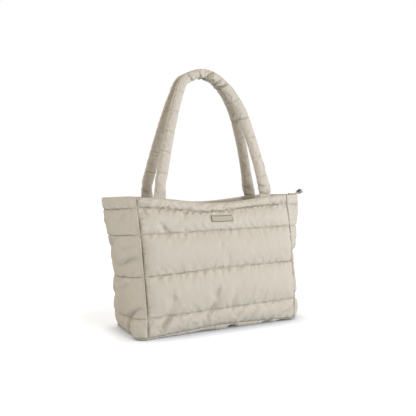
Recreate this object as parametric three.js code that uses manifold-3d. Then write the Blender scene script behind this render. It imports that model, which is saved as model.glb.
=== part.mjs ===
// Puffer tote bag with open gussets, two padded handles and an open zip.
// Millimetres. +X is the bag's right, -Y its front, +Z up; the origin is on the ground under its middle.
import * as THREE from 'three';
import { mergeVertices } from 'three/addons/utils/BufferGeometryUtils.js';
import Module from 'manifold-3d';

const wasm = await Module();
wasm.setup();

// Body
const rimHeight = 300; // ground to rim at the four upright seams
const rimSag = 15; // dip of the rim between the handles
const bottomWidth = 389; // front panel, seam to seam, at the ground
const topWidth = 403; // front panel, seam to seam, at the rim
const baseDepth = 158; // seam to seam, front to back, at the base
const gussetReach = 62; // how far a gusset's fold stands out at the rim
const gussetDroop = 4; // sag of a gusset's stitch lines at its fold
const bellyBulge = 11; // how far the filled front rounds out of its side seams
const seamWall = 4; // wall squeezed in a seam
const padWall = 9; // filled wall between two stitch lines
const bayPuff = 8; // how far a bay of the front or back swells out of its stitch lines
const gussetPuff = 4; // the same on a gusset
const bandHeight = 21.5; // hemmed band under the rim
const rimRound = 1.2; // rounding of the rim's edge
const seamGap = 0.3; // between two sewn pieces
const gatherDepth = 1.6; // puckers along a stitch line
const gatherReach = 9; // how far a pucker runs from its line
const foldDepth = 6; // the deepest dent
const foldWidth = 11; // half width of the widest dent
const innerDent = 0.5; // share of a dent that shows inside
const bandPuff = 0.25; // share of a bay's puff that the band has
const puffFullness = 0.6; // 1 for a sine-shaped bay, less for a fuller one
const panelEase = 0.18; // share of the half width over which a panel fills out from its side seam
const gussetEase = 0.4; // the same on a gusset
const foldRound = 0.03; // rounding of a gusset's fold, as a share of its half depth squared
const panelColumns = 28;
const gussetColumns = 10;

// Base
const baseWall = 10; // filled base
const baseTuck = 3; // the base's edge turns in by this at the ground
const baseGutter = 2; // how much lower its inside lies beside the walls
const basePuff = 2.5; // its edge swells out between seam and ground
const baseSwellAt = 0.45; // share of the edge's height where it stands out most

// Handles
const handleSpan = 280; // between the two legs of a handle
const handleRise = 278; // rim to the middle of the strap at the top
const strapWidth = 27;
const backStrapShift = 2.5; // the back strap's legs stand this much further right
const strapThickness = 18;
const rootThickness = 5; // strap pressed flat between rim and tape
const rootDepth = 18; // how far it reaches down inside the rim
const rootClear = 2.5; // height over the rim where it starts to fill out
const rootSwell = 22; // height over which it fills out again
const quiltPitch = 45; // between the strap's cross seams
const quiltPinch = 0.18; // share of the thickness that a cross seam takes
const strapNeck = 0.12; // share of the width lost above the rim
const neckFrom = 15; // height over the rim where the neck starts to widen
const neckTo = 60; // and where the strap has its full width again
const crumpleDepth = 0.14; // share of the width lost in the creases under the top bend
const strapInset = 1; // strap's middle inside the rim's seam line
const strapSides = 10;
const strapSteps = 48;

// Zip
const tapeWidth = 18;
const tapeThickness = 1.8;
const tapeBelowRim = 1.5;
const tapeRamp = 9; // length over which it steps round a strap's root
const tapeLeast = 2.5; // shortest stretch between two of its corners
const endTabWidth = 9;
const endTabInside = 22; // length of the end tab that lies on the tapes
const endTabOutside = 9; // length that stands out past the rim's tip
const endTabRise = 20; // degrees
const sliderLength = 13;
const sliderWidth = 8.5;
const plateThickness = 1.9;
const plateGap = 3;
const neckLength = 2.6;
const neckWidth = 2.4;
const eyeRadius = 1.9; // eye of the bridge that the pull hangs in
const bridgeWall = 1.1;
const bridgeWidth = 2.2;
const pullLength = 10.5;
const pullWidth = 6.4;
const pullThickness = 1.2;
const pullPlay = 0.5; // between the pull and the bridge, and over the plate
const weld = 0.2; // how far the slider's cast parts run into each other

// Label
const labelWidth = 57;
const labelHeight = 15.5;
const labelThickness = 1.2;
const labelBelowBand = 4.5;
const labelGap = 0.5;

// Sections of the body, from the ground up: height as a share of rimHeight, depth of baseDepth,
// the two gussets' reach of gussetReach, belly of bellyBulge, and the fold of the gusset, 1 for a
// sharp one and 2 for a round arc.
const sections = [
  { height: 0.0, depth: 0.98, left: 0.16, right: 0.18, belly: -1.1, arc: 6 },
  { height: 0.07, depth: 1.0, left: 0.24, right: 0.36, belly: 0.2, arc: 5 },
  { height: 0.15, depth: 1.0, left: 0.32, right: 0.4, belly: 0.6, arc: 4 },
  { height: 0.22, depth: 0.985, left: 0.37, right: 0.4, belly: 0.85, arc: 3 },
  { height: 0.32, depth: 0.935, left: 0.43, right: 0.42, belly: 1.0, arc: 2.3 },
  { height: 0.43, depth: 0.875, left: 0.47, right: 0.43, belly: 1.0, arc: 1.9 },
  { height: 0.54, depth: 0.81, left: 0.55, right: 0.56, belly: 1.0, arc: 1.8 },
  { height: 0.635, depth: 0.77, left: 0.65, right: 0.76, belly: 0.87, arc: 1.6 },
  { height: 0.735, depth: 0.7, left: 0.77, right: 0.88, belly: 0.75, arc: 1.4 },
  { height: 0.85, depth: 0.6, left: 0.88, right: 0.97, belly: 0.6, arc: 1.2 },
  { height: 0.93, depth: 0.52, left: 0.96, right: 1.0, belly: 0.4, arc: 1.1 },
  { height: 1.0, depth: 0.494, left: 1.0, right: 1.0, belly: 0.3, arc: 1.05 },
];

// Stitch lines: height at the left and right seams as a share of rimHeight, dip between them as a
// share of rimSag, puff of the bay above as a share of bayPuff, and the rows of facets in that bay.
const stitchLines = [
  { left: 0.017, right: 0.023, dip: -0.5, puff: 0.8, rows: 4 },
  { left: 0.153, right: 0.178, dip: -0.13, puff: 1.0, rows: 5 },
  { left: 0.443, right: 0.473, dip: -0.23, puff: 1.0, rows: 5 },
  { left: 0.74, right: 0.753, dip: 0.0, puff: 0.8, rows: 4 },
];

// Dents on the front: both ends as shares of the half width and of rimHeight, depth as a share of
// foldDepth, width of foldWidth.
const frontFolds = [
  { x0: 0.75, z0: 0.05, x1: 1.0, z1: 0.12, depth: 0.8, width: 0.8 },
  { x0: -0.7, z0: 0.27, x1: -0.75, z1: 0.17, depth: 0.6, width: 1.0 },
  { x0: -0.76, z0: 0.13, x1: -0.86, z1: 0.06, depth: 1.0, width: 0.8 },
  { x0: -0.15, z0: 0.28, x1: -0.18, z1: 0.19, depth: 0.7, width: 1.0 },
  { x0: -0.2, z0: 0.16, x1: -0.32, z1: 0.08, depth: 0.7, width: 1.0 },
  { x0: 0.1, z0: 0.28, x1: 0.06, z1: 0.2, depth: 0.45, width: 1.1 },
  { x0: 0.38, z0: 0.14, x1: 0.24, z1: 0.07, depth: 0.5, width: 0.9 },
  { x0: -0.92, z0: 0.92, x1: -1.0, z1: 0.86, depth: 0.6, width: 0.8 },
  { x0: 0.9, z0: 0.94, x1: 1.0, z1: 0.88, depth: 0.6, width: 0.8 },
  { x0: -0.77, z0: 0.8, x1: -0.69, z1: 0.75, depth: 0.6, width: 0.8 },
];

const backFolds = [
  { x0: -0.8, z0: 0.05, x1: -1.0, z1: 0.13, depth: 0.8, width: 0.8 },
  { x0: 0.62, z0: 0.26, x1: 0.68, z1: 0.17, depth: 0.7, width: 1.0 },
  { x0: 0.2, z0: 0.15, x1: 0.3, z1: 0.07, depth: 0.8, width: 0.9 },
  { x0: -0.34, z0: 0.28, x1: -0.3, z1: 0.19, depth: 0.6, width: 1.0 },
  { x0: -0.42, z0: 0.15, x1: -0.36, z1: 0.07, depth: 0.6, width: 1.0 },
  { x0: 0.9, z0: 0.93, x1: 1.0, z1: 0.87, depth: 0.6, width: 0.8 },
  { x0: -0.9, z0: 0.93, x1: -1.0, z1: 0.87, depth: 0.6, width: 0.8 },
];

// Dents on a gusset: across from -1 at its front seam to 1 at its back seam.
const gussetFolds = [
  { x0: -0.15, z0: 0.69, x1: 0.45, z1: 0.62, depth: 0.7, width: 0.9 },
  { x0: -0.85, z0: 0.56, x1: -0.1, z1: 0.51, depth: 0.6, width: 0.9 },
  { x0: -0.9, z0: 0.2, x1: -0.2, z1: 0.14, depth: 0.7, width: 0.9 },
  { x0: -0.35, z0: 0.15, x1: -0.2, z1: 0.04, depth: 0.8, width: 0.8 },
  { x0: 0.2, z0: 0.32, x1: 0.85, z1: 0.26, depth: 0.6, width: 1.0 },
];

// Middle line of a strap: across as a share of half the span, rise of handleRise.
const strapLine = [
  { across: -1.045, rise: 0.0 },
  { across: -1.015, rise: 0.1 },
  { across: -0.955, rise: 0.2 },
  { across: -0.875, rise: 0.4 },
  { across: -0.79, rise: 0.57 },
  { across: -0.655, rise: 0.78 },
  { across: -0.5, rise: 0.925 },
  { across: -0.3, rise: 0.985 },
  { across: -0.08, rise: 1.0 },
  { across: 0.13, rise: 0.955 },
  { across: 0.31, rise: 0.88 },
  { across: 0.54, rise: 0.72 },
  { across: 0.7, rise: 0.52 },
  { across: 0.83, rise: 0.315 },
  { across: 0.93, rise: 0.115 },
  { across: 0.97, rise: 0.0 },
];

const fabric = { color: 0xcdc4b5, roughness: 0.62, metalness: 0 };
const fabricShade = { color: 0xb9af9e, roughness: 0.66, metalness: 0 };
const patchCloth = { color: 0xb5ab98, roughness: 0.7, metalness: 0 };
const tapeCloth = { color: 0xbdb3a2, roughness: 0.75, metalness: 0 };
const gunmetal = { color: 0x4a4744, roughness: 0.35, metalness: 0.9 };

// A smooth value from a table at a height share.
function atHeight(column, share) {
  const last = sections.length - 1;
  let k = 0;
  while (k < last - 1 && share > sections[k + 1].height) k += 1;
  const from = sections[k];
  const to = sections[k + 1];
  const before = sections[Math.max(k - 1, 0)];
  const after = sections[Math.min(k + 2, last)];
  const step = to.height - from.height;
  const t = THREE.MathUtils.clamp((share - from.height) / step, 0, 1);
  const slopeIn = ((to[column] - before[column]) / (to.height - before.height)) * step;
  const slopeOut = ((after[column] - from[column]) / (after.height - from.height)) * step;
  const t2 = t * t;
  const t3 = t2 * t;
  return (
    (2 * t3 - 3 * t2 + 1) * from[column] +
    (t3 - 2 * t2 + t) * slopeIn +
    (3 * t2 - 2 * t3) * to[column] +
    (t3 - t2) * slopeOut
  );
}

const halfWidth = (z) => THREE.MathUtils.lerp(bottomWidth, topWidth, z / rimHeight) / 2;
const halfDepth = (z) => (atHeight('depth', z / rimHeight) * baseDepth) / 2;

function panelBase(face, u, z) {
  const belly = bellyBulge * atHeight('belly', z / rimHeight) * (1 - u * u);
  return new THREE.Vector3(u * halfWidth(z), face * (halfDepth(z) + belly), z);
}

function gussetBase(hand, s, z) {
  const power = atHeight('arc', z / rimHeight) / 2;
  const tip = foldRound ** power;
  const fall = (s * s + foldRound) ** power - tip;
  const reach = gussetReach * atHeight(hand < 0 ? 'left' : 'right', z / rimHeight);
  const out = reach * (1 - fall / ((1 + foldRound) ** power - tip));
  return new THREE.Vector3(hand * (halfWidth(z) + out), s * halfDepth(z), z);
}

// Level direction that points out of a wall.
function outwards(base, side, across, z) {
  const step = 0.01;
  const from = Math.max(across - step, -1);
  const to = Math.min(across + step, 1);
  const along = base(side, to, z).sub(base(side, from, z));
  const normal = new THREE.Vector3(along.y, -along.x, 0).normalize();
  const middle = base(side, across, z);
  const fromAxis = new THREE.Vector3(middle.x / topWidth, middle.y / baseDepth, 0);
  return normal.dot(fromAxis) < 0 ? normal.negate() : normal;
}

// Every stitch line's height at u, the rim last.
function lineHeights(u) {
  const middle = Math.cos((Math.PI * u) / 2) ** 2;
  const sides = (u + 1) / 2;
  const lineHeight = (line) => {
    const level = rimHeight * THREE.MathUtils.lerp(line.left, line.right, sides);
    return level - rimSag * line.dip * middle;
  };
  const heights = stitchLines.map(lineHeight);
  const rim = rimHeight - rimSag * middle;
  return [...heights, rim - bandHeight, rim];
}

// Rows of facets as a bay's number and the share of its height.
const bandBay = stitchLines.length;
const rows = stitchLines.flatMap((line, bay) =>
  Array.from({ length: line.rows }, (_, k) => ({ bay, t: (1 - Math.cos((Math.PI * k) / line.rows)) / 2 })),
);
rows.push({ bay: bandBay, t: 0 }, { bay: bandBay, t: 0.35 }, { bay: bandBay, t: 0.7 });
rows.push({ bay: bandBay, t: 1 - rimRound / bandHeight }, { bay: bandBay, t: 1 });

function rowHeight(row, u) {
  const heights = lineHeights(u);
  return THREE.MathUtils.lerp(heights[row.bay], heights[row.bay + 1], row.t);
}

function foldDent(folds, x, z, halfSpan) {
  let dent = 0;
  for (const fold of folds) {
    const from = new THREE.Vector2(fold.x0 * halfSpan, fold.z0 * rimHeight);
    const run = new THREE.Vector2(fold.x1 * halfSpan, fold.z1 * rimHeight).sub(from);
    const point = new THREE.Vector2(x, z).sub(from);
    const t = THREE.MathUtils.clamp(point.dot(run) / run.lengthSq(), 0, 1);
    const away = point.distanceTo(run.multiplyScalar(t)) / (fold.width * foldWidth);
    dent += fold.depth * foldDepth * Math.exp(-away * away);
  }
  return dent;
}

// Offsets of a wall's outer and inner faces from its stitched line, ease being 0 at a side seam.
function wallOffsets(row, fullPuff, bayHeight, ease, gather, dent) {
  const isBand = row.bay === bandBay;
  const swell = Math.sin(Math.PI * row.t) ** puffFullness * ease;
  const puff = fullPuff * (isBand ? bandPuff : stitchLines[row.bay].puff);
  const toLine = Math.min(row.t, isBand ? 1 : 1 - row.t) * bayHeight;
  const pucker = gatherDepth * gather * ease * Math.exp(-((toLine / gatherReach) ** 2));
  const rounding = isBand && row.t === 1 ? rimRound : 0;
  const outer = puff * swell - pucker - dent * ease - rounding;
  const fill = isBand ? 0 : (padWall - seamWall) * swell + dent * ease * innerDent;
  const inner = seamWall - rounding + fill;
  return { outer: Math.max(outer, -inner / 2), inner };
}

function easeFromSeam(across, width) {
  return Math.sin((Math.PI / 2) * Math.min(1, (1 - Math.abs(across)) / width)) ** puffFullness;
}

// Line where a panel and a gusset meet, on the outside and on the inside of the walls.
function seamPoint(hand, face, z, isPanel) {
  const outer = panelBase(face, hand, z);
  const panelNormal = outwards(panelBase, face, hand, z);
  const gussetNormal = outwards(gussetBase, hand, face, z);
  const mitre = panelNormal.clone().add(gussetNormal).normalize();
  const away = new THREE.Vector3(-mitre.y, mitre.x, 0);
  if (away.x * hand > 0) away.negate();
  const shift = away.multiplyScalar(((isPanel ? 1 : -1) * seamGap) / 2);
  return { outer: outer.add(shift), mitre, spread: 1 / mitre.dot(panelNormal), shift };
}

function wallPoints(base, side, across, row, z, folds, halfSpan, isPanel) {
  const heights = lineHeights(isPanel ? across : side);
  const bayHeight = heights[row.bay + 1] - heights[row.bay];
  const ease = easeFromSeam(across, isPanel ? panelEase : gussetEase);
  const columns = isPanel ? panelColumns : gussetColumns;
  const gather = (1 - Math.cos((Math.PI * (across + 1) * columns) / 2)) / 2;
  const dent = foldDent(folds, across * halfSpan, z, halfSpan);
  const puff = isPanel ? bayPuff : gussetPuff;
  const { outer, inner } = wallOffsets(row, puff, bayHeight, ease, gather, dent);
  if (Math.abs(across) === 1) {
    const seam = isPanel ? seamPoint(across, side, z, true) : seamPoint(side, across, z, false);
    return {
      outer: seam.outer.clone().addScaledVector(seam.mitre, outer),
      inner: seam.outer.clone().addScaledVector(seam.mitre, -inner * seam.spread),
    };
  }
  const at = base(side, across, z);
  const normal = outwards(base, side, across, z);
  return {
    outer: at.clone().addScaledVector(normal, outer),
    inner: at.clone().addScaledVector(normal, -inner),
  };
}

function panelPoint(face, u, row) {
  const folds = face < 0 ? frontFolds : backFolds;
  return wallPoints(panelBase, face, u, row, rowHeight(row, u), folds, halfWidth(rimHeight), true);
}

// The rows of a gusset droop at its fold, the lowest bay's less and less, and the rim not at all.
function gussetPoint(hand, s, row) {
  const share = row.bay === 0 ? row.t : 1 - (row.bay === bandBay ? row.t : 0);
  const z = rowHeight(row, hand) - gussetDroop * share * (1 - s * s);
  return wallPoints(gussetBase, hand, s, row, z, gussetFolds, baseDepth / 2, false);
}

const stations = (count) => Array.from({ length: count + 1 }, (_, k) => (2 * k) / count - 1);

// Solid from rings of points, one after another; each ring runs the same way round.
function solidFromRings(rings, capFirst, capLast) {
  const count = rings[0].length;
  const positions = rings.flat().flatMap((p) => [p.x, p.y, p.z]);
  const index = [];
  for (let r = 0; r + 1 < rings.length; r += 1) {
    for (let k = 0; k < count; k += 1) {
      const next = (k + 1) % count;
      const a = r * count + k;
      const b = r * count + next;
      index.push(a, b, b + count, a, b + count, a + count);
    }
  }
  const last = (rings.length - 1) * count;
  for (const [a, b, c] of capFirst) index.push(c, b, a);
  for (const [a, b, c] of capLast) index.push(last + a, last + b, last + c);
  return facingOut(positions, index);
}

// Turns every triangle round if the solid came out inside out.
function facingOut(positions, index) {
  let volume = 0;
  const corner = (k) => new THREE.Vector3().fromArray(positions, 3 * index[k]);
  for (let k = 0; k < index.length; k += 3) volume += corner(k).dot(corner(k + 1).cross(corner(k + 2)));
  if (volume < 0) index.reverse();
  const geometry = new THREE.BufferGeometry();
  geometry.setAttribute('position', new THREE.Float32BufferAttribute(positions, 3));
  geometry.setIndex(index);
  return geometry;
}

// Cap of a ring whose two halves face each other, as strips between them.
function stripCap(count) {
  const cap = [];
  for (let k = 0; k < count / 2 - 1; k += 1) {
    const far = count - 1 - k;
    cap.push([k, k + 1, far], [k + 1, far - 1, far]);
  }
  return cap;
}

const fanCap = (count) => Array.from({ length: count - 2 }, (_, k) => [0, k + 1, k + 2]);

// Wall from its outer and inner points, one ring of rows for each column.
function wallSolid(columns, pointAt) {
  const rings = stations(columns).map((across) => {
    const points = rows.map((row) => pointAt(across, row));
    return [...points.map((p) => p.outer), ...points.map((p) => p.inner).reverse()];
  });
  const cap = stripCap(2 * rows.length);
  return solidFromRings(rings, cap, cap);
}

function baseSolid() {
  const lowest = rows[0];
  const edge = [];
  const inside = (list) => list.slice(1, -1);
  for (const u of stations(panelColumns)) edge.push(panelPoint(-1, u, lowest));
  for (const s of inside(stations(gussetColumns))) edge.push(gussetPoint(1, s, lowest));
  for (const u of stations(panelColumns).reverse()) edge.push(panelPoint(1, u, lowest));
  for (const s of inside(stations(gussetColumns)).reverse()) edge.push(gussetPoint(-1, s, lowest));
  const reachX = bottomWidth / 2;
  const reachY = baseDepth / 2;
  const inset = (p, by, z) => new THREE.Vector3(p.x * (1 - by / reachX), p.y * (1 - by / reachY), z);
  const seamZ = (p) => p.z - seamGap;
  const ground = edge.map((p) => inset(p.outer, baseTuck, 0));
  const swell = edge.map((p) => inset(p.outer, -basePuff, p.outer.z * baseSwellAt));
  const outerSeam = edge.map((p) => inset(p.outer, 0, seamZ(p.outer)));
  const innerSeam = edge.map((p) => inset(p.inner, 0, seamZ(p.inner)));
  const gutter = edge.map((p) => inset(p.inner, padWall, Math.min(seamZ(p.inner), baseWall - baseGutter)));
  const pad = edge.map((p) => inset(p.inner, padWall * 2, baseWall));
  const flatCap = (ring) => THREE.ShapeUtils.triangulateShape(ring.map((p) => new THREE.Vector2(p.x, p.y)), []);
  return solidFromRings([ground, swell, outerSeam, innerSeam, gutter, pad], flatCap(ground), flatCap(pad));
}

// Rim's inner face at a place across a panel.
function rimInside(face, x, z) {
  const u = x / halfWidth(z);
  return panelBase(face, u, z).y - face * seamWall;
}

const rimAt = (x) => lineHeights(THREE.MathUtils.clamp(x / halfWidth(rimHeight), -1, 1)).at(-1);

function strapSolid(face) {
  const half = handleSpan / 2;
  const shift = face > 0 ? backStrapShift : 0;
  const onLine = (p) => new THREE.Vector3(p.across * half + shift, 0, rimHeight + p.rise * handleRise);
  const line = strapLine.map(onLine);
  const first = line[0];
  const end = line.at(-1);
  const foot = (p) => new THREE.Vector3(p.x, 0, rimAt(p.x) - rootDepth);
  const curve = new THREE.CatmullRomCurve3([foot(first), ...line, foot(end)], false, 'centripetal');
  const length = curve.getLength();
  const root = (rootDepth + rootClear) / length;
  const placeOf = (k) => THREE.MathUtils.lerp(root, 1 - root, k / strapSteps);
  const places = Array.from({ length: strapSteps + 1 }, (_, k) => placeOf(k));
  const rings = [];
  for (const [k, along] of [0, root / 2, ...places, 1 - root / 2, 1].entries()) {
    const at = curve.getPointAt(along);
    const tangent = curve.getTangentAt(along);
    const aboveRim = at.z - rimAt(at.x);
    const rise = THREE.MathUtils.clamp((at.z - rimHeight) / handleRise, 0, 1);
    const phase = Math.abs(Math.sin((Math.PI * (along - 0.5) * length) / quiltPitch));
    const puff = 1 - quiltPinch * (1 - phase ** 0.5);
    const top = THREE.MathUtils.smoothstep(rise, 0.9, 0.99);
    const crumple = top * (k % 2) * crumpleDepth;
    const widening = THREE.MathUtils.smoothstep(aboveRim, neckFrom, neckTo);
    const necking = THREE.MathUtils.smoothstep(aboveRim, rootClear, rootSwell) * (1 - widening);
    const halfW = (strapWidth / 2) * (1 - strapNeck * necking);
    const atRim = halfDepth(rimHeight) - strapInset;
    const free = face * THREE.MathUtils.lerp(atRim, strapThickness / 2 + seamGap / 2, rise);
    const ring = [];
    for (let n = 0; n < strapSides; n += 1) {
      const angle = (2 * Math.PI * (n + 0.5)) / strapSides;
      const bulge = (value, power) => Math.sign(value) * Math.abs(value) ** power;
      const across = bulge(Math.cos(angle), 0.8) * halfW * (Math.cos(angle) > 0 ? 1 - crumple : 1);
      const x = at.x + tangent.z * across;
      const z = at.z - tangent.x * across;
      const fill = THREE.MathUtils.smoothstep(z - rimAt(x), rootClear, rootSwell);
      const halfT = THREE.MathUtils.lerp(rootThickness, strapThickness * puff, fill) / 2;
      const deep = bulge(Math.sin(angle), 0.85) * halfT;
      const held = rimInside(face, x, Math.min(z, rimHeight)) - face * (seamGap + rootThickness / 2);
      ring.push(new THREE.Vector3(x, THREE.MathUtils.lerp(held, free, fill) + deep, z));
    }
    rings.push(ring);
  }
  return solidFromRings(rings, fanCap(strapSides), fanCap(strapSides));
}

// Places across a panel where the tape has a corner: the columns, and each strap root's ends and ramps.
function tapeStations(legs) {
  const half = halfWidth(rimHeight);
  const list = stations(panelColumns).slice(1, -1);
  for (const leg of legs) {
    for (const side of [-1, 1]) {
      const edge = leg + side * (strapWidth / 2);
      list.push(edge / half, (edge + side * tapeRamp) / half);
    }
  }
  list.sort((a, b) => a - b);
  return list.filter((u, k) => k === 0 || u - list[k - 1] > tapeLeast / half);
}

// Tape along one inner side of the rim, from the left tip to the right one, round the strap's roots.
function tapeSolid(face) {
  const shift = face > 0 ? backStrapShift : 0;
  const legs = [strapLine[0].across, strapLine.at(-1).across].map((across) => (across * handleSpan) / 2 + shift);
  const halfGusset = stations(gussetColumns).filter((s) => s * face > 0 && Math.abs(s) < 1);
  halfGusset.sort((a, b) => Math.abs(a) - Math.abs(b));
  const onGusset = (hand, s) => (drop) => ({
    at: gussetBase(hand, s, rimHeight - drop),
    normal: outwards(gussetBase, hand, s, rimHeight - drop),
  });
  const atSeam = (hand) => (drop) => {
    const seam = seamPoint(hand, face, rimHeight - drop, true);
    return { at: seam.outer, normal: seam.mitre.multiplyScalar(seam.spread) };
  };
  const onPanel = (u) => (drop) => {
    const z = rimAt(u * halfWidth(rimHeight)) - drop;
    return { at: panelBase(face, u, z), normal: outwards(panelBase, face, u, z) };
  };
  const path = [
    ...halfGusset.map((s) => onGusset(-1, s)),
    atSeam(-1),
    ...tapeStations(legs).map(onPanel),
    atSeam(1),
    ...[...halfGusset].reverse().map((s) => onGusset(1, s)),
  ];
  const rings = path.map((place) => {
    const corner = (more, drop) => {
      const { at, normal } = place(drop);
      const nearest = Math.min(...legs.map((leg) => Math.abs(at.x - leg)));
      const over = 1 - THREE.MathUtils.clamp((nearest - strapWidth / 2) / tapeRamp, 0, 1);
      const depth = seamWall + seamGap + over * (rootThickness + 2 * seamGap);
      return at.addScaledVector(normal, -depth - more);
    };
    const drops = [0, 0.5, 1].map((share) => tapeBelowRim + share * tapeWidth);
    const wallSide = drops.map((drop) => corner(0, drop));
    const openSide = drops.map((drop) => corner(tapeThickness, drop));
    return [...wallSide, ...openSide.reverse()];
  });
  return solidFromRings(rings, stripCap(6), stripCap(6));
}

// Plate with an outline in the X-Z plane, as wide as said and centred on Y = 0.
function uprightPlate(shape, width, curveSegments) {
  const plate = new THREE.ExtrudeGeometry(shape, { depth: width, bevelEnabled: false, curveSegments });
  plate.translate(0, 0, -width / 2);
  plate.rotateX(Math.PI / 2);
  return plate;
}

const tabTilt = THREE.MathUtils.degToRad(endTabRise);
const tipX = halfWidth(rimHeight) + gussetReach; // the rim's right tip
const tabLevel = rimHeight + seamGap + tapeThickness / 2; // middle of the tab where it lies on the rim
const tabBend = tipX - seamWall; // where it starts to rise
const tabEnd = new THREE.Vector2(tabBend, tabLevel).add(
  new THREE.Vector2(Math.cos(tabTilt), Math.sin(tabTilt)).multiplyScalar(seamWall + endTabOutside),
);

function endTabGeometry() {
  const across = tapeThickness / 2;
  const rise = new THREE.Vector2(-Math.sin(tabTilt), Math.cos(tabTilt)).multiplyScalar(across);
  const half = across * Math.tan(tabTilt / 2);
  const shape = new THREE.Shape([
    new THREE.Vector2(tabBend - endTabInside, tabLevel - across),
    new THREE.Vector2(tabBend + half, tabLevel - across),
    tabEnd.clone().sub(rise),
    tabEnd.clone().add(rise),
    new THREE.Vector2(tabBend - half, tabLevel + across),
    new THREE.Vector2(tabBend - endTabInside, tabLevel + across),
  ]);
  return uprightPlate(shape, endTabWidth, 1);
}

// The slider is drawn along its own X, then tilted with the end tab. Its neck starts at the tab's end.
const pivotHeight = plateGap / 2 + plateThickness + pullThickness / 2 + pullPlay;
const neckStart = seamGap;
const plateStart = neckStart + neckLength / 2 - sliderLength / 2;

function merged(geometry) {
  geometry.deleteAttribute('normal');
  geometry.deleteAttribute('uv');
  const clean = mergeVertices(geometry, 1e-4);
  const vertProperties = clean.attributes.position.array;
  return new wasm.Manifold(new wasm.Mesh({ numProp: 3, vertProperties, triVerts: clean.index.array }));
}

function fromManifold(solid) {
  const mesh = solid.getMesh();
  const geometry = new THREE.BufferGeometry();
  geometry.setAttribute('position', new THREE.BufferAttribute(Float32Array.from(mesh.vertProperties), 3));
  geometry.setIndex(Array.from(mesh.triVerts));
  return geometry;
}

function roundedPlate(from, to, width, radius) {
  const half = width / 2;
  const shape = new THREE.Shape();
  shape.moveTo(from + radius, -half);
  shape.lineTo(to - radius, -half);
  shape.absarc(to - radius, -half + radius, radius, -Math.PI / 2, 0, false);
  shape.lineTo(to, half - radius);
  shape.absarc(to - radius, half - radius, radius, 0, Math.PI / 2, false);
  shape.lineTo(from + radius, half);
  shape.absarc(from + radius, half - radius, radius, Math.PI / 2, Math.PI, false);
  shape.lineTo(from, -half + radius);
  shape.absarc(from + radius, -half + radius, radius, Math.PI, Math.PI * 1.5, false);
  return shape;
}

function sliderGeometry() {
  const outline = roundedPlate(plateStart, plateStart + sliderLength, sliderWidth, sliderWidth / 4);
  const cast = { depth: plateThickness, bevelEnabled: false, curveSegments: 3 };
  const plate = (z) => new THREE.ExtrudeGeometry(outline, cast).translate(0, 0, z);
  const neckMiddle = neckStart + neckLength / 2;
  const neck = new THREE.BoxGeometry(neckLength, neckWidth, plateGap + 2 * weld).translate(neckMiddle, 0, 0);
  const ring = new THREE.Shape();
  const outer = eyeRadius + bridgeWall;
  const ringZ = pivotHeight;
  const foot = plateGap / 2 + plateThickness - weld;
  ring.moveTo(outer, foot);
  ring.lineTo(outer, ringZ);
  ring.absarc(0, ringZ, outer, 0, Math.PI, false);
  ring.lineTo(-outer, foot);
  ring.lineTo(-eyeRadius, foot);
  ring.lineTo(-eyeRadius, ringZ);
  ring.absarc(0, ringZ, eyeRadius, Math.PI, 0, true);
  ring.lineTo(eyeRadius, foot);
  const bridge = uprightPlate(ring, bridgeWidth, 5).translate(neckMiddle, 0, 0);
  const body = merged(plate(plateGap / 2)).add(merged(plate(-plateGap / 2 - plateThickness)));
  return fromManifold(body.add(merged(neck)).add(merged(bridge)));
}

// The pull lies inwards from its bar, which is the origin here.
function pullGeometry() {
  const barHalf = pullThickness / 2;
  const shape = roundedPlate(-pullLength, barHalf, pullWidth, pullWidth / 3.2);
  const slot = new THREE.Path();
  const slotHalf = bridgeWidth / 2 + pullPlay;
  const slotEnd = -(eyeRadius + bridgeWall + pullPlay);
  slot.moveTo(slotEnd, -slotHalf);
  slot.lineTo(slotEnd, slotHalf);
  slot.lineTo(-barHalf, slotHalf);
  slot.lineTo(-barHalf, -slotHalf);
  shape.holes.push(slot);
  const stamped = { depth: pullThickness, bevelEnabled: false, curveSegments: 4 };
  return new THREE.ExtrudeGeometry(shape, stamped).translate(0, 0, -barHalf);
}

// A patch that lies on the filled front under the band.
function labelGeometry() {
  const across = 8;
  const up = 4;
  const rings = [];
  for (let k = 0; k <= across; k += 1) {
    const x = labelWidth * (k / across - 0.5);
    const u = x / halfWidth(rimHeight);
    const heights = lineHeights(u);
    const bottom = heights[bandBay] - labelBelowBand - labelHeight;
    const points = Array.from({ length: up + 1 }, (_, n) => {
      const z = bottom + (labelHeight * n) / up;
      const bay = bandBay - 1;
      const row = { bay, t: (z - heights[bay]) / (heights[bay + 1] - heights[bay]) };
      const y = panelPoint(-1, u, row).outer.y - labelGap;
      return { back: new THREE.Vector3(x, y, z), front: new THREE.Vector3(x, y - labelThickness, z) };
    });
    rings.push([...points.map((p) => p.front), ...points.map((p) => p.back).reverse()]);
  }
  const cap = stripCap(2 * (up + 1));
  return solidFromRings(rings, cap, cap);
}

function piece(name, geometry, finish) {
  const mesh = new THREE.Mesh(geometry, new THREE.MeshStandardMaterial(finish));
  mesh.name = name;
  return mesh;
}

const bag = new THREE.Group();
bag.add(piece('front_panel', wallSolid(panelColumns, (u, row) => panelPoint(-1, u, row)), fabric));
bag.add(piece('back_panel', wallSolid(panelColumns, (u, row) => panelPoint(1, u, row)), fabric));
bag.add(piece('left_gusset', wallSolid(gussetColumns, (s, row) => gussetPoint(-1, s, row)), fabric));
bag.add(piece('right_gusset', wallSolid(gussetColumns, (s, row) => gussetPoint(1, s, row)), fabric));
bag.add(piece('bottom_panel', baseSolid(), fabricShade));
bag.add(piece('front_handle', strapSolid(-1), fabric));
bag.add(piece('back_handle', strapSolid(1), fabric));
bag.add(piece('label_patch', labelGeometry(), patchCloth));
bag.add(piece('zip_tape_front', tapeSolid(-1), tapeCloth));
bag.add(piece('zip_tape_back', tapeSolid(1), tapeCloth));
bag.add(piece('zip_end_tab', endTabGeometry(), tapeCloth));

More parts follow.
